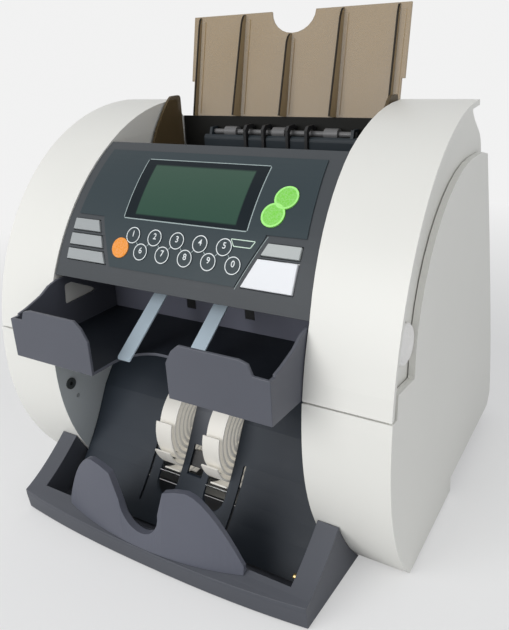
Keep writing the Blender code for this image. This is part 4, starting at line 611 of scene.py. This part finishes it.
@dataclass
class StackWheels:
    """Stacking wheels: every vane is a thin blade whose radius grows evenly with its turn about the shaft."""

    centre: Pair = (-0.0670, 0.0610)
    places: tuple[tuple[str, float], ...] = (("left_impeller", -0.0225), ("right_impeller", 0.0225))
    half_width: float = 0.0075
    bore: float = 0.0041
    hub: float = 0.0115
    chamfer: float = 0.0006
    root_share: float = 0.9
    rim: float = 0.0378
    vanes: int = 10
    first_tip: float = math.radians(4.2)
    sweep: float = math.radians(190)
    root_half: float = 0.0014
    tip_half: float = 0.0006
    steps: int = 44

    def blades(self, middle: float) -> tuple[Array, Array]:
        """All vanes of a wheel: along t, radius = root + (rim - root) t and turn = tip + sweep (1 - t).

        Args:
            middle: The wheel's place across.

        Returns:
            Points and quads.
        """
        share = np.linspace(0, 1, self.steps)[None, :]
        tips = self.first_tip + math.tau / self.vanes * np.arange(self.vanes)[:, None]
        root = self.hub * self.root_share
        radius = root + (self.rim - root) * share + 0 * tips
        turn = tips + self.sweep * (1 - share)
        y, z = radius * np.cos(turn), radius * np.sin(turn)
        along = np.stack([np.gradient(y, axis=1), np.gradient(z, axis=1)], axis=-1)
        along /= np.linalg.norm(along, axis=-1, keepdims=True)
        half = self.root_half + (self.tip_half - self.root_half) * share[..., None]
        off = np.stack([-along[..., 1], along[..., 0]], axis=-1) * half
        core = np.stack([y + self.centre[0], z + self.centre[1]], axis=-1)
        rings = []
        for side, edge in ((-1, 1), (1, 1), (1, -1), (-1, -1)):
            across = np.full(core.shape[:2] + (1,), middle + side * self.half_width)
            rings.append(np.concatenate([across, core + edge * off], axis=-1))
        return swept_boxes(np.stack(rings, axis=2))

    def build(self) -> list[bpy.types.Object]:
        """Both wheels: a hub and its vanes stand for each node.

        Returns:
            The pieces.
        """
        pieces = []
        for node, middle in self.places:
            verts, faces = self.blades(middle)
            vanes = mesh_piece(node + "_vanes", verts, faces, Look.IVORY, "stacker")
            low, high, edge = middle - self.half_width, middle + self.half_width, self.chamfer
            profile = [(low, self.bore), (high, self.bore), (high, self.hub - edge), (high - edge, self.hub),
                       (low + edge, self.hub), (low, self.hub - edge)]
            hub = turned(node + "_hub", profile, self.centre, Look.IVORY, "stacker")
            for piece in (vanes, hub):
                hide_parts(node)
                pieces.append(piece)
        return pieces


@dataclass
class SmallFittings:
    """Wires across the wheel slots, a pin in the tray and a guide hole's rim beside the service socket."""

    wire_place: Pair = (-0.0990, 0.0356)
    wire_radius: float = 0.0005
    wire_spans: Pairs = ((-0.0325, -0.0125), (0.0125, 0.0325))
    pin_place: Pair = (-0.1364, 0.0205)
    pin: Pairs = ((0.1116, 0.0), (0.1153, 0.0), (0.1153, 0.0021), (0.1119, 0.0021), (0.1113, 0.0017),
                  (0.1113, 0.0010), (0.1116, 0.0009))
    rim_place: Pair = (-0.1026, 0.0848)
    rim: Pairs = ((-0.1124, 0.0008), (-0.1120, 0.0008), (-0.1120, 0.0015), (-0.1124, 0.0019))
    wire_sides: int = 12
    round_sides: int = 24

    def build(self) -> list[bpy.types.Object]:
        """Turn every fitting about its own axis along X.

        Returns:
            The pieces.
        """
        pieces = []
        for number, (low, high) in enumerate(self.wire_spans):
            profile = [(low, 0.0), (high, 0.0), (high, self.wire_radius), (low, self.wire_radius)]
            pieces.append(turned("slot_wire_%d" % number, profile, self.wire_place, Look.SHAFT, "base",
                                 self.wire_sides))
        pieces.append(turned("tray_pin", self.pin, self.pin_place, Look.BRASS, "base", self.round_sides))
        pieces.append(turned("guide_hole_rim", self.rim, self.rim_place, Look.SOCKET, "base",
                             self.round_sides))
        return pieces


@dataclass
class PlateFins:
    """Upright fins on the note plate's front: each starts as a point at its top and deepens evenly downwards."""

    top: Pair = (0.0862, 0.3739)
    lean: float = math.radians(12.5)
    inner: Pairs = ((-0.0470, 0.0010), (-0.0009, 0.0180), (0.0450, 0.0010))
    outer: Pairs = ((-0.0932, 0.0010), (0.0911, 0.0010))
    inner_depths: Pair = (0.0042, 0.0110)
    outer_depths: Pair = (0.0022, 0.0046)
    half: float = 0.0007
    foot: float = 0.0845
    rounding: float = 0.0100
    bead: float = 0.0007
    bead_share: float = 0.9
    buried: float = 0.0003
    crowding: float = 1.6
    steps: int = 24

    def layer(self, front: bool) -> tuple[Array, Array]:
        """Boxes along every fin: depth = even growth times a quarter ellipse at the top.

        Args:
            front: Whether this is the dark bead along the front edge, or the web behind it.

        Returns:
            Points and quads.
        """
        rise = np.array([math.sin(self.lean), math.cos(self.lean)])
        ahead = np.array([-math.cos(self.lean), math.sin(self.lean)])
        boxes = []
        for places, (high, low) in ((self.inner, self.inner_depths), (self.outer, self.outer_depths)):
            for across, start in places:
                down = start + (self.foot - start) * np.linspace(0, 1, self.steps) ** self.crowding
                near = np.clip((down - start) / self.rounding, 0, 1)
                depth = (high + (low - high) * down / self.foot) * np.sqrt(1 - (1 - near) ** 2) + self.bead
                back = depth - self.bead if front else np.full(self.steps, -self.buried)
                edge = depth if front else depth - self.bead * self.bead_share
                core = np.array(self.top) - rise * down[:, None]
                corners = []
                for side, out in ((-1, back), (1, back), (1, edge), (-1, edge)):
                    x = np.full(self.steps, across + side * self.half)
                    corners.append(np.column_stack([x, core + ahead * out[:, None]]))
                boxes.append(np.stack(corners, axis=1))
        return swept_boxes(np.stack(boxes))

    def build(self) -> list[bpy.types.Object]:
        """The webs and the beads along their front edges.

        Returns:
            The pieces.
        """
        pieces = []
        for name, look, front in (("plate_fins", Look.FIN, False), ("plate_fin_beads", Look.FIN_EDGE, True)):
            verts, faces = self.layer(front)
            pieces.append(mesh_piece(name, verts, faces, look, "upper", smooth=False))
        return pieces


@dataclass
class RearGapShade:
    """Black sheet under the rear parting, a painted shade that keeps light from showing through the gap: an arc
    about the hinge, just outside the sweep of the deck's lower edge.
    """

    hinge: Pair = (0.0790, 0.2550)
    radii: Pair = (0.0247, 0.0256)
    turns: Pair = (math.radians(-45), math.radians(-94))
    half: float = 0.1000
    steps: int = 14

    def build(self) -> list[bpy.types.Object]:
        """A closed box bent about the hinge.

        Returns:
            The piece.
        """
        turn = np.linspace(*self.turns, self.steps)
        unit = np.column_stack([np.cos(turn), np.sin(turn)])
        corners = [np.column_stack([np.full(self.steps, side * self.half), np.array(self.hinge) + unit * radius])
                   for side, radius in zip((-1, 1, 1, -1), np.repeat(self.radii, 2))]
        verts, faces = swept_boxes(np.stack(corners, axis=1)[None])
        # Painted shade: a black sheet where the gap shows only shade.
        return [mesh_piece("rear_gap_shade", verts, faces, Look.BLACK, "base")]


@dataclass
class SoftEdges:
    """Copies of CAD nodes whose edges are rounded as moulded parts' are."""

    groups: tuple[tuple[Look, float, tuple[str, ...]], ...] = (
        (Look.SHELL, 0.0007, ("left_upper_cover", "right_upper_cover")),
        (Look.BEZEL, 0.0004, ("control_bezel",)), (Look.DECK, 0.0006, ("rear_deck",)),
        (Look.SMOKE, 0.0003, ("note_back_plate",)),
        (Look.SHELL, 0.0006, ("left_lower_cover", "right_lower_cover")),
        (Look.SLATE, 0.0012, ("base_tray",)), (Look.REST, 0.0012, ("stack_rest",)),
        (Look.POCKET, 0.0008, ("reject_pocket",)),
        (Look.LATCH, 0.0005, ("left_latch_button", "right_latch_button")),
        (Look.GREY_KEY, 0.0005, ("left_key_1", "left_key_2", "left_key_3")),
        (Look.PALE_KEY, 0.0005, ("mode_key",)), (Look.WHITE_KEY, 0.0006, ("start_key",)),
        (Look.GUIDE, 0.0004, ("left_note_guide", "right_note_guide")))
    # Lower covers whose walls facing across the bay take the painted shade, out to the reach after it.
    wall_shaded_nodes: tuple[str, ...] = ("left_lower_cover", "right_lower_cover")
    wall_shade_reach: float = 0.1160
    sideways: float = 0.95
    # This node's upward faces below the level after it take the painted shade.
    floor_shade_node: str = "reject_pocket"
    floor_level: float = 0.1500
    upright: float = 0.8
    steps: int = 3
    crease: float = math.radians(28)
    flat: float = math.radians(0.6)
    weld: float = 0.000002

    def soften(self, node: str, frame: dict, look: Look, width: float) -> bpy.types.Object:
        """Weld a copy of a node, dissolve its flat triangles and round its edges.

        Args:
            node: The CAD node's name.
            look: The copy's finish.
            width: Width of the rounding in metres.

        Returns:
            The copy, which stands for the node.
        """
        source = frame["nodes"][node]
        mesh = source.data.copy()
        shape = bmesh.new()
        shape.from_mesh(mesh)
        bmesh.ops.remove_doubles(shape, verts=shape.verts, dist=self.weld)
        bmesh.ops.dissolve_limit(shape, angle_limit=self.flat, verts=shape.verts, edges=shape.edges)
        shape.to_mesh(mesh)
        shape.free()
        mesh.materials.clear()
        mesh.materials.append(look.value.make())
        # Painted shade on the lower covers' walls that face across the bay.
        if node in self.wall_shaded_nodes:
            self.dress_faces(mesh, Look.BAY_WALL_SHADE, lambda face: abs(face.normal.x) > self.sideways
                             and abs(face.center.x) < self.wall_shade_reach)
        # Painted shade on the reject pocket's inner floor.
        if node == self.floor_shade_node:
            self.dress_faces(mesh, Look.POCKET_FLOOR_SHADE, lambda face: face.normal.z > self.upright
                             and face.center.z < self.floor_level)
        mesh.shade_smooth()
        mesh.set_sharp_from_angle(angle=self.crease)
        made = placed(node + "_soft", mesh)
        bevel = made.modifiers.new("Rounding", "BEVEL")
        bevel.width = width
        bevel.segments = self.steps
        bevel.limit_method = "ANGLE"
        bevel.angle_limit = self.crease
        bevel.use_clamp_overlap = True
        bevel.harden_normals = True
        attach(made, source["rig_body"])
        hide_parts(node)
        return made

    def dress_faces(self, mesh: bpy.types.Mesh, look: Look, chosen: Callable[[Any], bool]) -> None:
        """Give some faces a second, darker finish that is painted shade: a lower cover's walls in the bay, or the
        reject pocket's floor.

        Args:
            mesh: The mesh.
            look: The finish.
            chosen: Whether a face takes it.
        """
        mesh.materials.append(look.value.make())
        for face in mesh.polygons:
            if chosen(face):
                face.material_index = 1

    def build(self, frame: dict) -> list[bpy.types.Object]:
        """Round every listed node.


        Returns:
            The copies.
        """
        return [self.soften(node, frame, look, width) for look, width, nodes in self.groups for node in nodes]


@dataclass
class PanelFace:
    """The control panel's curved face: a quarter superellipse between two levels, unrolled by arc length s."""

    belly_y: float = -0.1210
    belly_z: float = 0.1120
    crest_y: float = 0.0510
    crest_z: float = 0.3070
    power: float = 2.05
    inset: float = 0.0010
    low_z: float = 0.1926
    high_z: float = 0.2835
    samples: int = 600

    def __post_init__(self) -> None:
        """Sample the face: y = crest - reach cos(t)^(2/p), z = belly + rise sin(t)^(2/p)."""
        rise = self.crest_z - self.belly_z - self.inset
        reach = self.crest_y - self.belly_y - self.inset
        ends = [math.asin(((z - self.belly_z) / rise) ** (self.power / 2)) for z in (self.low_z, self.high_z)]
        turn = np.linspace(*ends, self.samples)
        self.y = self.crest_y - reach * np.cos(turn) ** (2 / self.power)
        self.z = self.belly_z + rise * np.sin(turn) ** (2 / self.power)
        steps = np.hypot(np.diff(self.y), np.diff(self.z))
        self.s = np.concatenate([[0.0], np.cumsum(steps)])
        self.slope = np.arctan2(np.gradient(self.z), np.gradient(self.y))

    def on_curve(self, x: Array, s: Array, lift: Array) -> Array:
        """Points over the curved face: the face's point at s plus its normal times the lift.

        Args:
            x: Places across.
            s: Arc lengths up the face.
            lift: Heights over it.

        Returns:
            Rows of world coordinates.
        """
        turn = np.interp(s, self.s, self.slope)
        y = np.interp(s, self.s, self.y) - np.sin(turn) * lift
        z = np.interp(s, self.s, self.z) + np.cos(turn) * lift
        return np.stack(np.broadcast_arrays(x, y, z), axis=-1)

    def on_key(self, centre: Pair, u: Array, v: Array, lift: float) -> Array:
        """Points on the flat that touches the face at a key's centre.

        Args:
            centre: The key's (x, s).
            u: Places across from the centre.
            v: Places up from the centre.
            lift: Height over the flat.

        Returns:
            Rows of world coordinates.
        """
        x, s = centre
        turn = float(np.interp(s, self.s, self.slope))
        y = np.interp(s, self.s, self.y) + np.cos(turn) * v - np.sin(turn) * lift
        z = np.interp(s, self.s, self.z) + np.sin(turn) * v + np.cos(turn) * lift
        return np.stack(np.broadcast_arrays(x + u, y, z), axis=-1)


def trimmed(corners: Sequence[Pair], reach: float) -> list[Pair]:
    """Closed outline whose corners are cut off.

    Args:
        corners: The outline's corners.
        reach: Distance from each corner at which it is cut.

    Returns:
        Two corners for each one.
    """
    made = []
    for number, corner in enumerate(corners):
        here = np.array(corner)
        for other in (corners[number - 1], corners[(number + 1) % len(corners)]):
            way = np.array(other) - here
            made.append(tuple(here + way / np.linalg.norm(way) * reach))
    return made


@dataclass
class PanelPrint:
    """What is printed on the control panel: rings, plain numbers, outlines and the display's frame line; also a
    light line along the keypad membrane's right edge.
    """

    face: PanelFace = field(default_factory=PanelFace)
    key_top: float = 0.00136
    sheet_top: float = 0.00076
    bare_top: float = 0.00012
    digit_height: float = 0.0050
    digit_rise: float = 0.0012
    font_share: float = 1.25
    digit_weight: float = 0.012
    ring: float = 0.00585
    stroke: float = 0.00065
    ring_sides: int = 40
    bends: int = 8
    sharpest: float = 0.3
    numbers: tuple[tuple[str, float, float], ...] = (
        ("1", -0.0400, 0.0382), ("6", -0.0300, 0.0268), ("2", -0.0200, 0.0382), ("7", -0.0100, 0.0268),
        ("3", 0.0, 0.0382), ("8", 0.0100, 0.0268), ("4", 0.0200, 0.0382), ("9", 0.0300, 0.0268),
        ("5", 0.0400, 0.0382), ("0", 0.0500, 0.0268))
    menu: Pair = (-0.0496, 0.0279)
    menu_reach: float = 0.0078
    link_reach: float = 0.0063
    link_width: float = 0.0005
    rounds: Pairs = ((0.0755, 0.0772), (0.0699, 0.0639))
    round_rim: Pair = (0.0080, 0.0014)
    window: Pairs = ((-0.0541, 0.0507), (0.0541, 0.0507), (0.0541, 0.1017), (-0.0541, 0.1017))
    window_cut: float = 0.0012
    window_width: float = 0.0008
    slanted: Pairs = ((0.0436, 0.0446), (0.0627, 0.0446), (0.0601, 0.0398), (0.0468, 0.0398))
    slanted_cut: float = 0.0005
    slanted_width: float = 0.0006
    edge: Pairs = ((0.0540, 0.0118), (0.0707, 0.0490))
    edge_width: float = 0.0004

    def ring_piece(self, name: str, centre: Pair, radius: float, width: float,
                   look: Look, slot: str) -> bpy.types.Object:
        """Flat ring on a key: radius from inner to outer, turn from 0 to a full turn.

        Args:
            name: The piece's name.
            centre: The key's (x, s).
            radius: The ring's middle radius.
            width: Its width.
            look: Its finish.
            slot: The record's material slot; not used.

        Returns:
            The object.
        """
        turn = np.linspace(0, math.tau, self.ring_sides, endpoint=False)[:, None]
        reach = np.array([radius - width / 2, radius + width / 2])[None, :]
        verts = self.face.on_key(centre, reach * np.cos(turn), reach * np.sin(turn), self.key_top)
        faces = grid_faces(self.ring_sides, 2, wrap_rows=True)[:, ::-1]
        return mesh_piece(name, verts.reshape(-1, 3), faces, look, "upper", smooth=False)

    def digit(self, text: str, centre: Pair) -> bpy.types.Object:
        """A plain number, filled from the built-in font's outline and laid on its key.

        Args:
            text: The number.
            centre: The key's (x, s).

        Returns:
            The object.
        """
        curve = bpy.data.curves.new("digit_" + text, "FONT")
        curve.body = text
        curve.size = self.digit_height * self.font_share
        curve.offset = self.digit_height * self.digit_weight
        curve.align_x = "CENTER"
        curve.align_y = "CENTER"
        source = placed("digit_source", curve)
        bpy.context.view_layer.update()
        flat = bpy.data.meshes.new_from_object(source.evaluated_get(bpy.context.evaluated_depsgraph_get()))
        bpy.data.objects.remove(source)
        places = np.empty(len(flat.vertices) * 3)
        flat.vertices.foreach_get("co", places)
        u, v, _ = places.reshape(-1, 3).T
        middle = (u.min() + u.max()) / 2, (v.min() + v.max()) / 2 - self.digit_rise
        flat.vertices.foreach_set("co", self.face.on_key(centre, u - middle[0], v - middle[1], self.key_top).ravel())
        flat.materials.clear()
        flat.materials.append(Look.INK.value.make())
        made = placed("number_" + text, flat)
        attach(made, "upper")
        return made

    def line(self, name: str, corners: Sequence[Pair], width: float, lift: float, look: Look,
             closed: bool = True) -> bpy.types.Object:
        """Ribbon along a path on the curved face: each point is moved both ways along the path's normal.

        Args:
            name: The piece's name.
            corners: The path's (x, s) corners.
            width: The ribbon's width.
            lift: Height over the face.
            look: Its finish.
            closed: Whether the path meets itself.

        Returns:
            The object.
        """
        path = np.array(corners)
        share = np.linspace(0, 1, self.bends + 1)[:-1][None, :, None]
        dense = (path[:, None, :] + (np.roll(path, -1, axis=0) - path)[:, None, :] * share).reshape(-1, 2)
        if not closed:
            dense = dense[:(len(path) - 1) * self.bends + 1]
        ahead, behind = np.roll(dense, -1, axis=0) - dense, dense - np.roll(dense, 1, axis=0)
        if not closed:
            ahead[-1], behind[0] = behind[-1], ahead[0]
        ahead /= np.linalg.norm(ahead, axis=1)[:, None]
        behind /= np.linalg.norm(behind, axis=1)[:, None]
        side = np.stack([-(ahead + behind)[:, 1], (ahead + behind)[:, 0]], axis=1)
        side /= np.maximum(np.linalg.norm(side, axis=1) ** 2 / 2, self.sharpest)[:, None]
        edges = dense[:, None, :] + side[:, None, :] * np.array([-width / 2, width / 2])[None, :, None]
        verts = self.face.on_curve(edges[..., 0], edges[..., 1], lift).reshape(-1, 3)
        faces = grid_faces(len(dense), 2, wrap_rows=closed)
        return mesh_piece(name, verts, faces, look, "upper", smooth=False)

    def build(self) -> list[bpy.types.Object]:
        """Print the whole panel.

        Returns:
            The pieces.
        """
        pieces = []
        for text, x, s in self.numbers:
            pieces.append(self.ring_piece("ring_" + text, (x, s), self.ring, self.stroke, Look.INK, "pale_key"))
            pieces.append(self.digit(text, (x, s)))
        for number, place in enumerate(self.rounds):
            pieces.append(self.ring_piece("lime_rim_%d" % number, place, *self.round_rim, Look.LIME_RIM, "lime_key"))
        window, slanted = trimmed(self.window, self.window_cut), trimmed(self.slanted, self.slanted_cut)
        pieces.append(self.line("display_frame_line", window, self.window_width, self.sheet_top, Look.FRAME_INK))
        pieces.append(self.line("small_frame_line", slanted, self.slanted_width, self.sheet_top, Look.LIME_INK))
        # A light line just outside the membrane's right edge, laid on the bezel.
        pieces.append(self.line("panel_edge_line", self.edge, self.edge_width, self.bare_top, Look.FRAME_INK,
                                closed=False))
        return pieces + self.links()

    def links(self) -> list[bpy.types.Object]:
        """Short lines that join the keys in a zigzag, each from rim to rim.

        Returns:
            The pieces.
        """
        stops = [(*self.menu, self.menu_reach)] + [(x, s, self.link_reach) for _, x, s in self.numbers]
        pieces = []
        for number, (near, far) in enumerate(zip(stops, stops[1:])):
            start, end = np.array(near[:2]), np.array(far[:2])
            way = (end - start) / np.linalg.norm(end - start)
            path = [tuple(start + way * near[2]), tuple(end - way * far[2])]
            pieces.append(self.line("link_%d" % number, path, self.link_width, self.sheet_top, Look.FRAME_INK,
                                    closed=False))
        return pieces


@dataclass
class Studio:
    """Camera, lamps, world, floor and backdrop."""

    camera_place: tuple[float, float, float] = (0.30326, -0.45222, 0.36069)
    camera_turn: tuple[float, float, float] = (1.89448466, 0.51452086, -0.43264346)
    focal_px: float = 700.933
    principal: Pair = (251.496, 300.629)
    image: tuple[int, int] = (509, 630)
    sensor: float = 36.0
    floor_colour: Colour = (0.86, 0.86, 0.86)
    floor_fade: Pair = (0.35, 1.0)
    floor_shares: Pair = (0.42, 0.58)
    floor_radii: tuple[float, ...] = (0.0, 0.4, 0.8, 1.6, 3.2)
    floor_sides: int = 48
    floor_level: float = -0.0002
    backdrop: Colour = (0.885, 0.885, 0.885)
    sky: Colour = (0.95, 0.97, 1.0)
    sky_strength: float = 0.44
    aim: tuple[float, float, float] = (0.0, 0.0, 0.15)
    lamps: tuple[tuple[str, tuple[float, float, float], float, float], ...] = (
        ("key_lamp", (-0.6, -1.8, 1.0), 1.3, 24.0), ("top_lamp", (-0.2, -0.1, 1.9), 1.5, 2.2),
        ("side_lamp", (1.7, -0.4, 0.9), 1.2, 6.0))

    def camera(self) -> None:
        """Place the solved camera: its turn is a rotation vector from world to camera axes."""
        data = bpy.data.cameras.new("camera")
        width, height = self.image
        data.sensor_width = self.sensor
        data.lens = self.focal_px / height * self.sensor
        data.shift_x = (width / 2 - self.principal[0]) / height
        data.shift_y = (self.principal[1] - height / 2) / height
        data.clip_start = 0.01
        made = placed("camera", data)
        turn = Vector(self.camera_turn)
        to_camera = Matrix.Rotation(turn.length, 3, turn.normalized())
        upright = to_camera.transposed() @ Matrix.Diagonal((1, -1, -1))
        made.matrix_world = Matrix.Translation(self.camera_place) @ upright.to_4x4()
        bpy.context.scene.camera = made

    def lamp(self, name: str, place: tuple[float, float, float], size: float, power: float) -> None:
        """Hang a square soft box that faces the sorter.

        Args:
            name: The lamp's name.
            place: Where it hangs.
            size: Its side in metres.
            power: Its power in watts.
        """
        data = bpy.data.lights.new(name, "AREA")
        data.shape = "SQUARE"
        data.size = size
        data.energy = power
        made = placed(name, data)
        made.location = place
        made.rotation_euler = (Vector(self.aim) - Vector(place)).to_track_quat("-Z", "Y").to_euler()

    def world(self) -> None:
        """Even soft light, and a pale backdrop for camera, glossy and transmission rays."""
        world = bpy.data.worlds.new("studio")
        bpy.context.scene.world = world
        world.use_nodes = True
        world.node_tree.nodes.clear()
        shop = NodeShop(world.node_tree)
        rays = shop.node("ShaderNodeLightPath", output="Is Camera Ray")
        seen = rays + rays.beside("Is Glossy Ray") + rays.beside("Is Transmission Ray")
        light = shop.node("ShaderNodeBackground", inputs={"Color": self.sky, "Strength": self.sky_strength})
        shown = shop.node("ShaderNodeBackground", inputs={"Color": self.backdrop, "Strength": 1.0})
        mixed = shop.node("ShaderNodeMixShader", inputs={0: seen.clamp(0.0, 1.0), 1: light, 2: shown})
        shop.feed(world.node_tree.nodes.new("ShaderNodeOutputWorld").inputs["Surface"], mixed)

    def floor(self) -> None:
        """A plain flat disc, radius by turn, that the camera sees fade into the backdrop."""
        radius = np.array(self.floor_radii)[:, None]
        turn = np.linspace(0, math.tau, self.floor_sides, endpoint=False)[None, :]
        points = np.broadcast_arrays(radius * np.cos(turn), radius * np.sin(turn), self.floor_level)
        faces = grid_faces(len(self.floor_radii), self.floor_sides, wrap_columns=True)[:, ::-1]
        mesh = bpy.data.meshes.new("floor")
        mesh.from_pydata(np.stack(points, axis=-1).reshape(-1, 3).tolist(), [], faces.tolist())
        paint = bpy.data.materials.new("floor_paint")
        paint.use_nodes = True
        shop = NodeShop(paint.node_tree)
        paint.node_tree.nodes.clear()
        matt = shop.node("ShaderNodeBsdfDiffuse", inputs={"Color": self.floor_colour})
        pale = shop.node("ShaderNodeEmission", inputs={"Color": self.backdrop, "Strength": 1.0})
        far = shop.node("ShaderNodeVectorMath", {"operation": "LENGTH"}, {0: shop.place()}, output="Value")
        seen = shop.node("ShaderNodeLightPath", output="Is Camera Ray")
        near_share, far_share = self.floor_shares
        share = seen * (near_share + far_share * far.clamp(*self.floor_fade))
        mixed = shop.node("ShaderNodeMixShader", inputs={0: share, 1: matt, 2: pale})
        shop.feed(paint.node_tree.nodes.new("ShaderNodeOutputMaterial").inputs["Surface"], mixed)
        mesh.materials.append(paint)
        placed("floor", mesh)

    def build(self) -> None:
        """Set up the whole studio."""
        self.camera()
        self.world()
        self.floor()
        for name, place, size, power in self.lamps:
            self.lamp(name, place, size, power)
        bpy.context.scene.view_settings.view_transform = "Standard"


@dataclass
class Sorter:
    """The dressed banknote sorter."""

    edges: SoftEdges = field(default_factory=SoftEdges)
    wheels: StackWheels = field(default_factory=StackWheels)
    fittings: SmallFittings = field(default_factory=SmallFittings)
    fins: PlateFins = field(default_factory=PlateFins)
    gap_shade: RearGapShade = field(default_factory=RearGapShade)
    panel: PanelPrint = field(default_factory=PanelPrint)

    def dress(self, frame: dict) -> None:
        """Give its finish to every CAD node that is shown as it is.
        """
        for look, nodes in PLAIN_DRESS.items():
            for node in nodes:
                frame["nodes"][node].data.materials.clear()
                frame["nodes"][node].data.materials.append(look.value.make())

    def build(self, frame: dict) -> list[bpy.types.Object]:
        """Dress the nodes and add the new pieces.


        Returns:
            The new pieces.
        """
        self.dress(frame)
        pieces = self.edges.build(frame) + self.wheels.build() + self.fittings.build()
        pieces += self.fins.build() + self.gap_shade.build() + self.panel.build()
        for piece in pieces:
            LOG.info("built %s", piece.name)
        return pieces


def main() -> None:
    """Build the classes in order."""
    logging.basicConfig(level=logging.INFO)
    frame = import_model()
    Studio().build()
    Sorter().build(frame)
    bpy.context.view_layer.update()


if __name__ == "__main__":
    main()
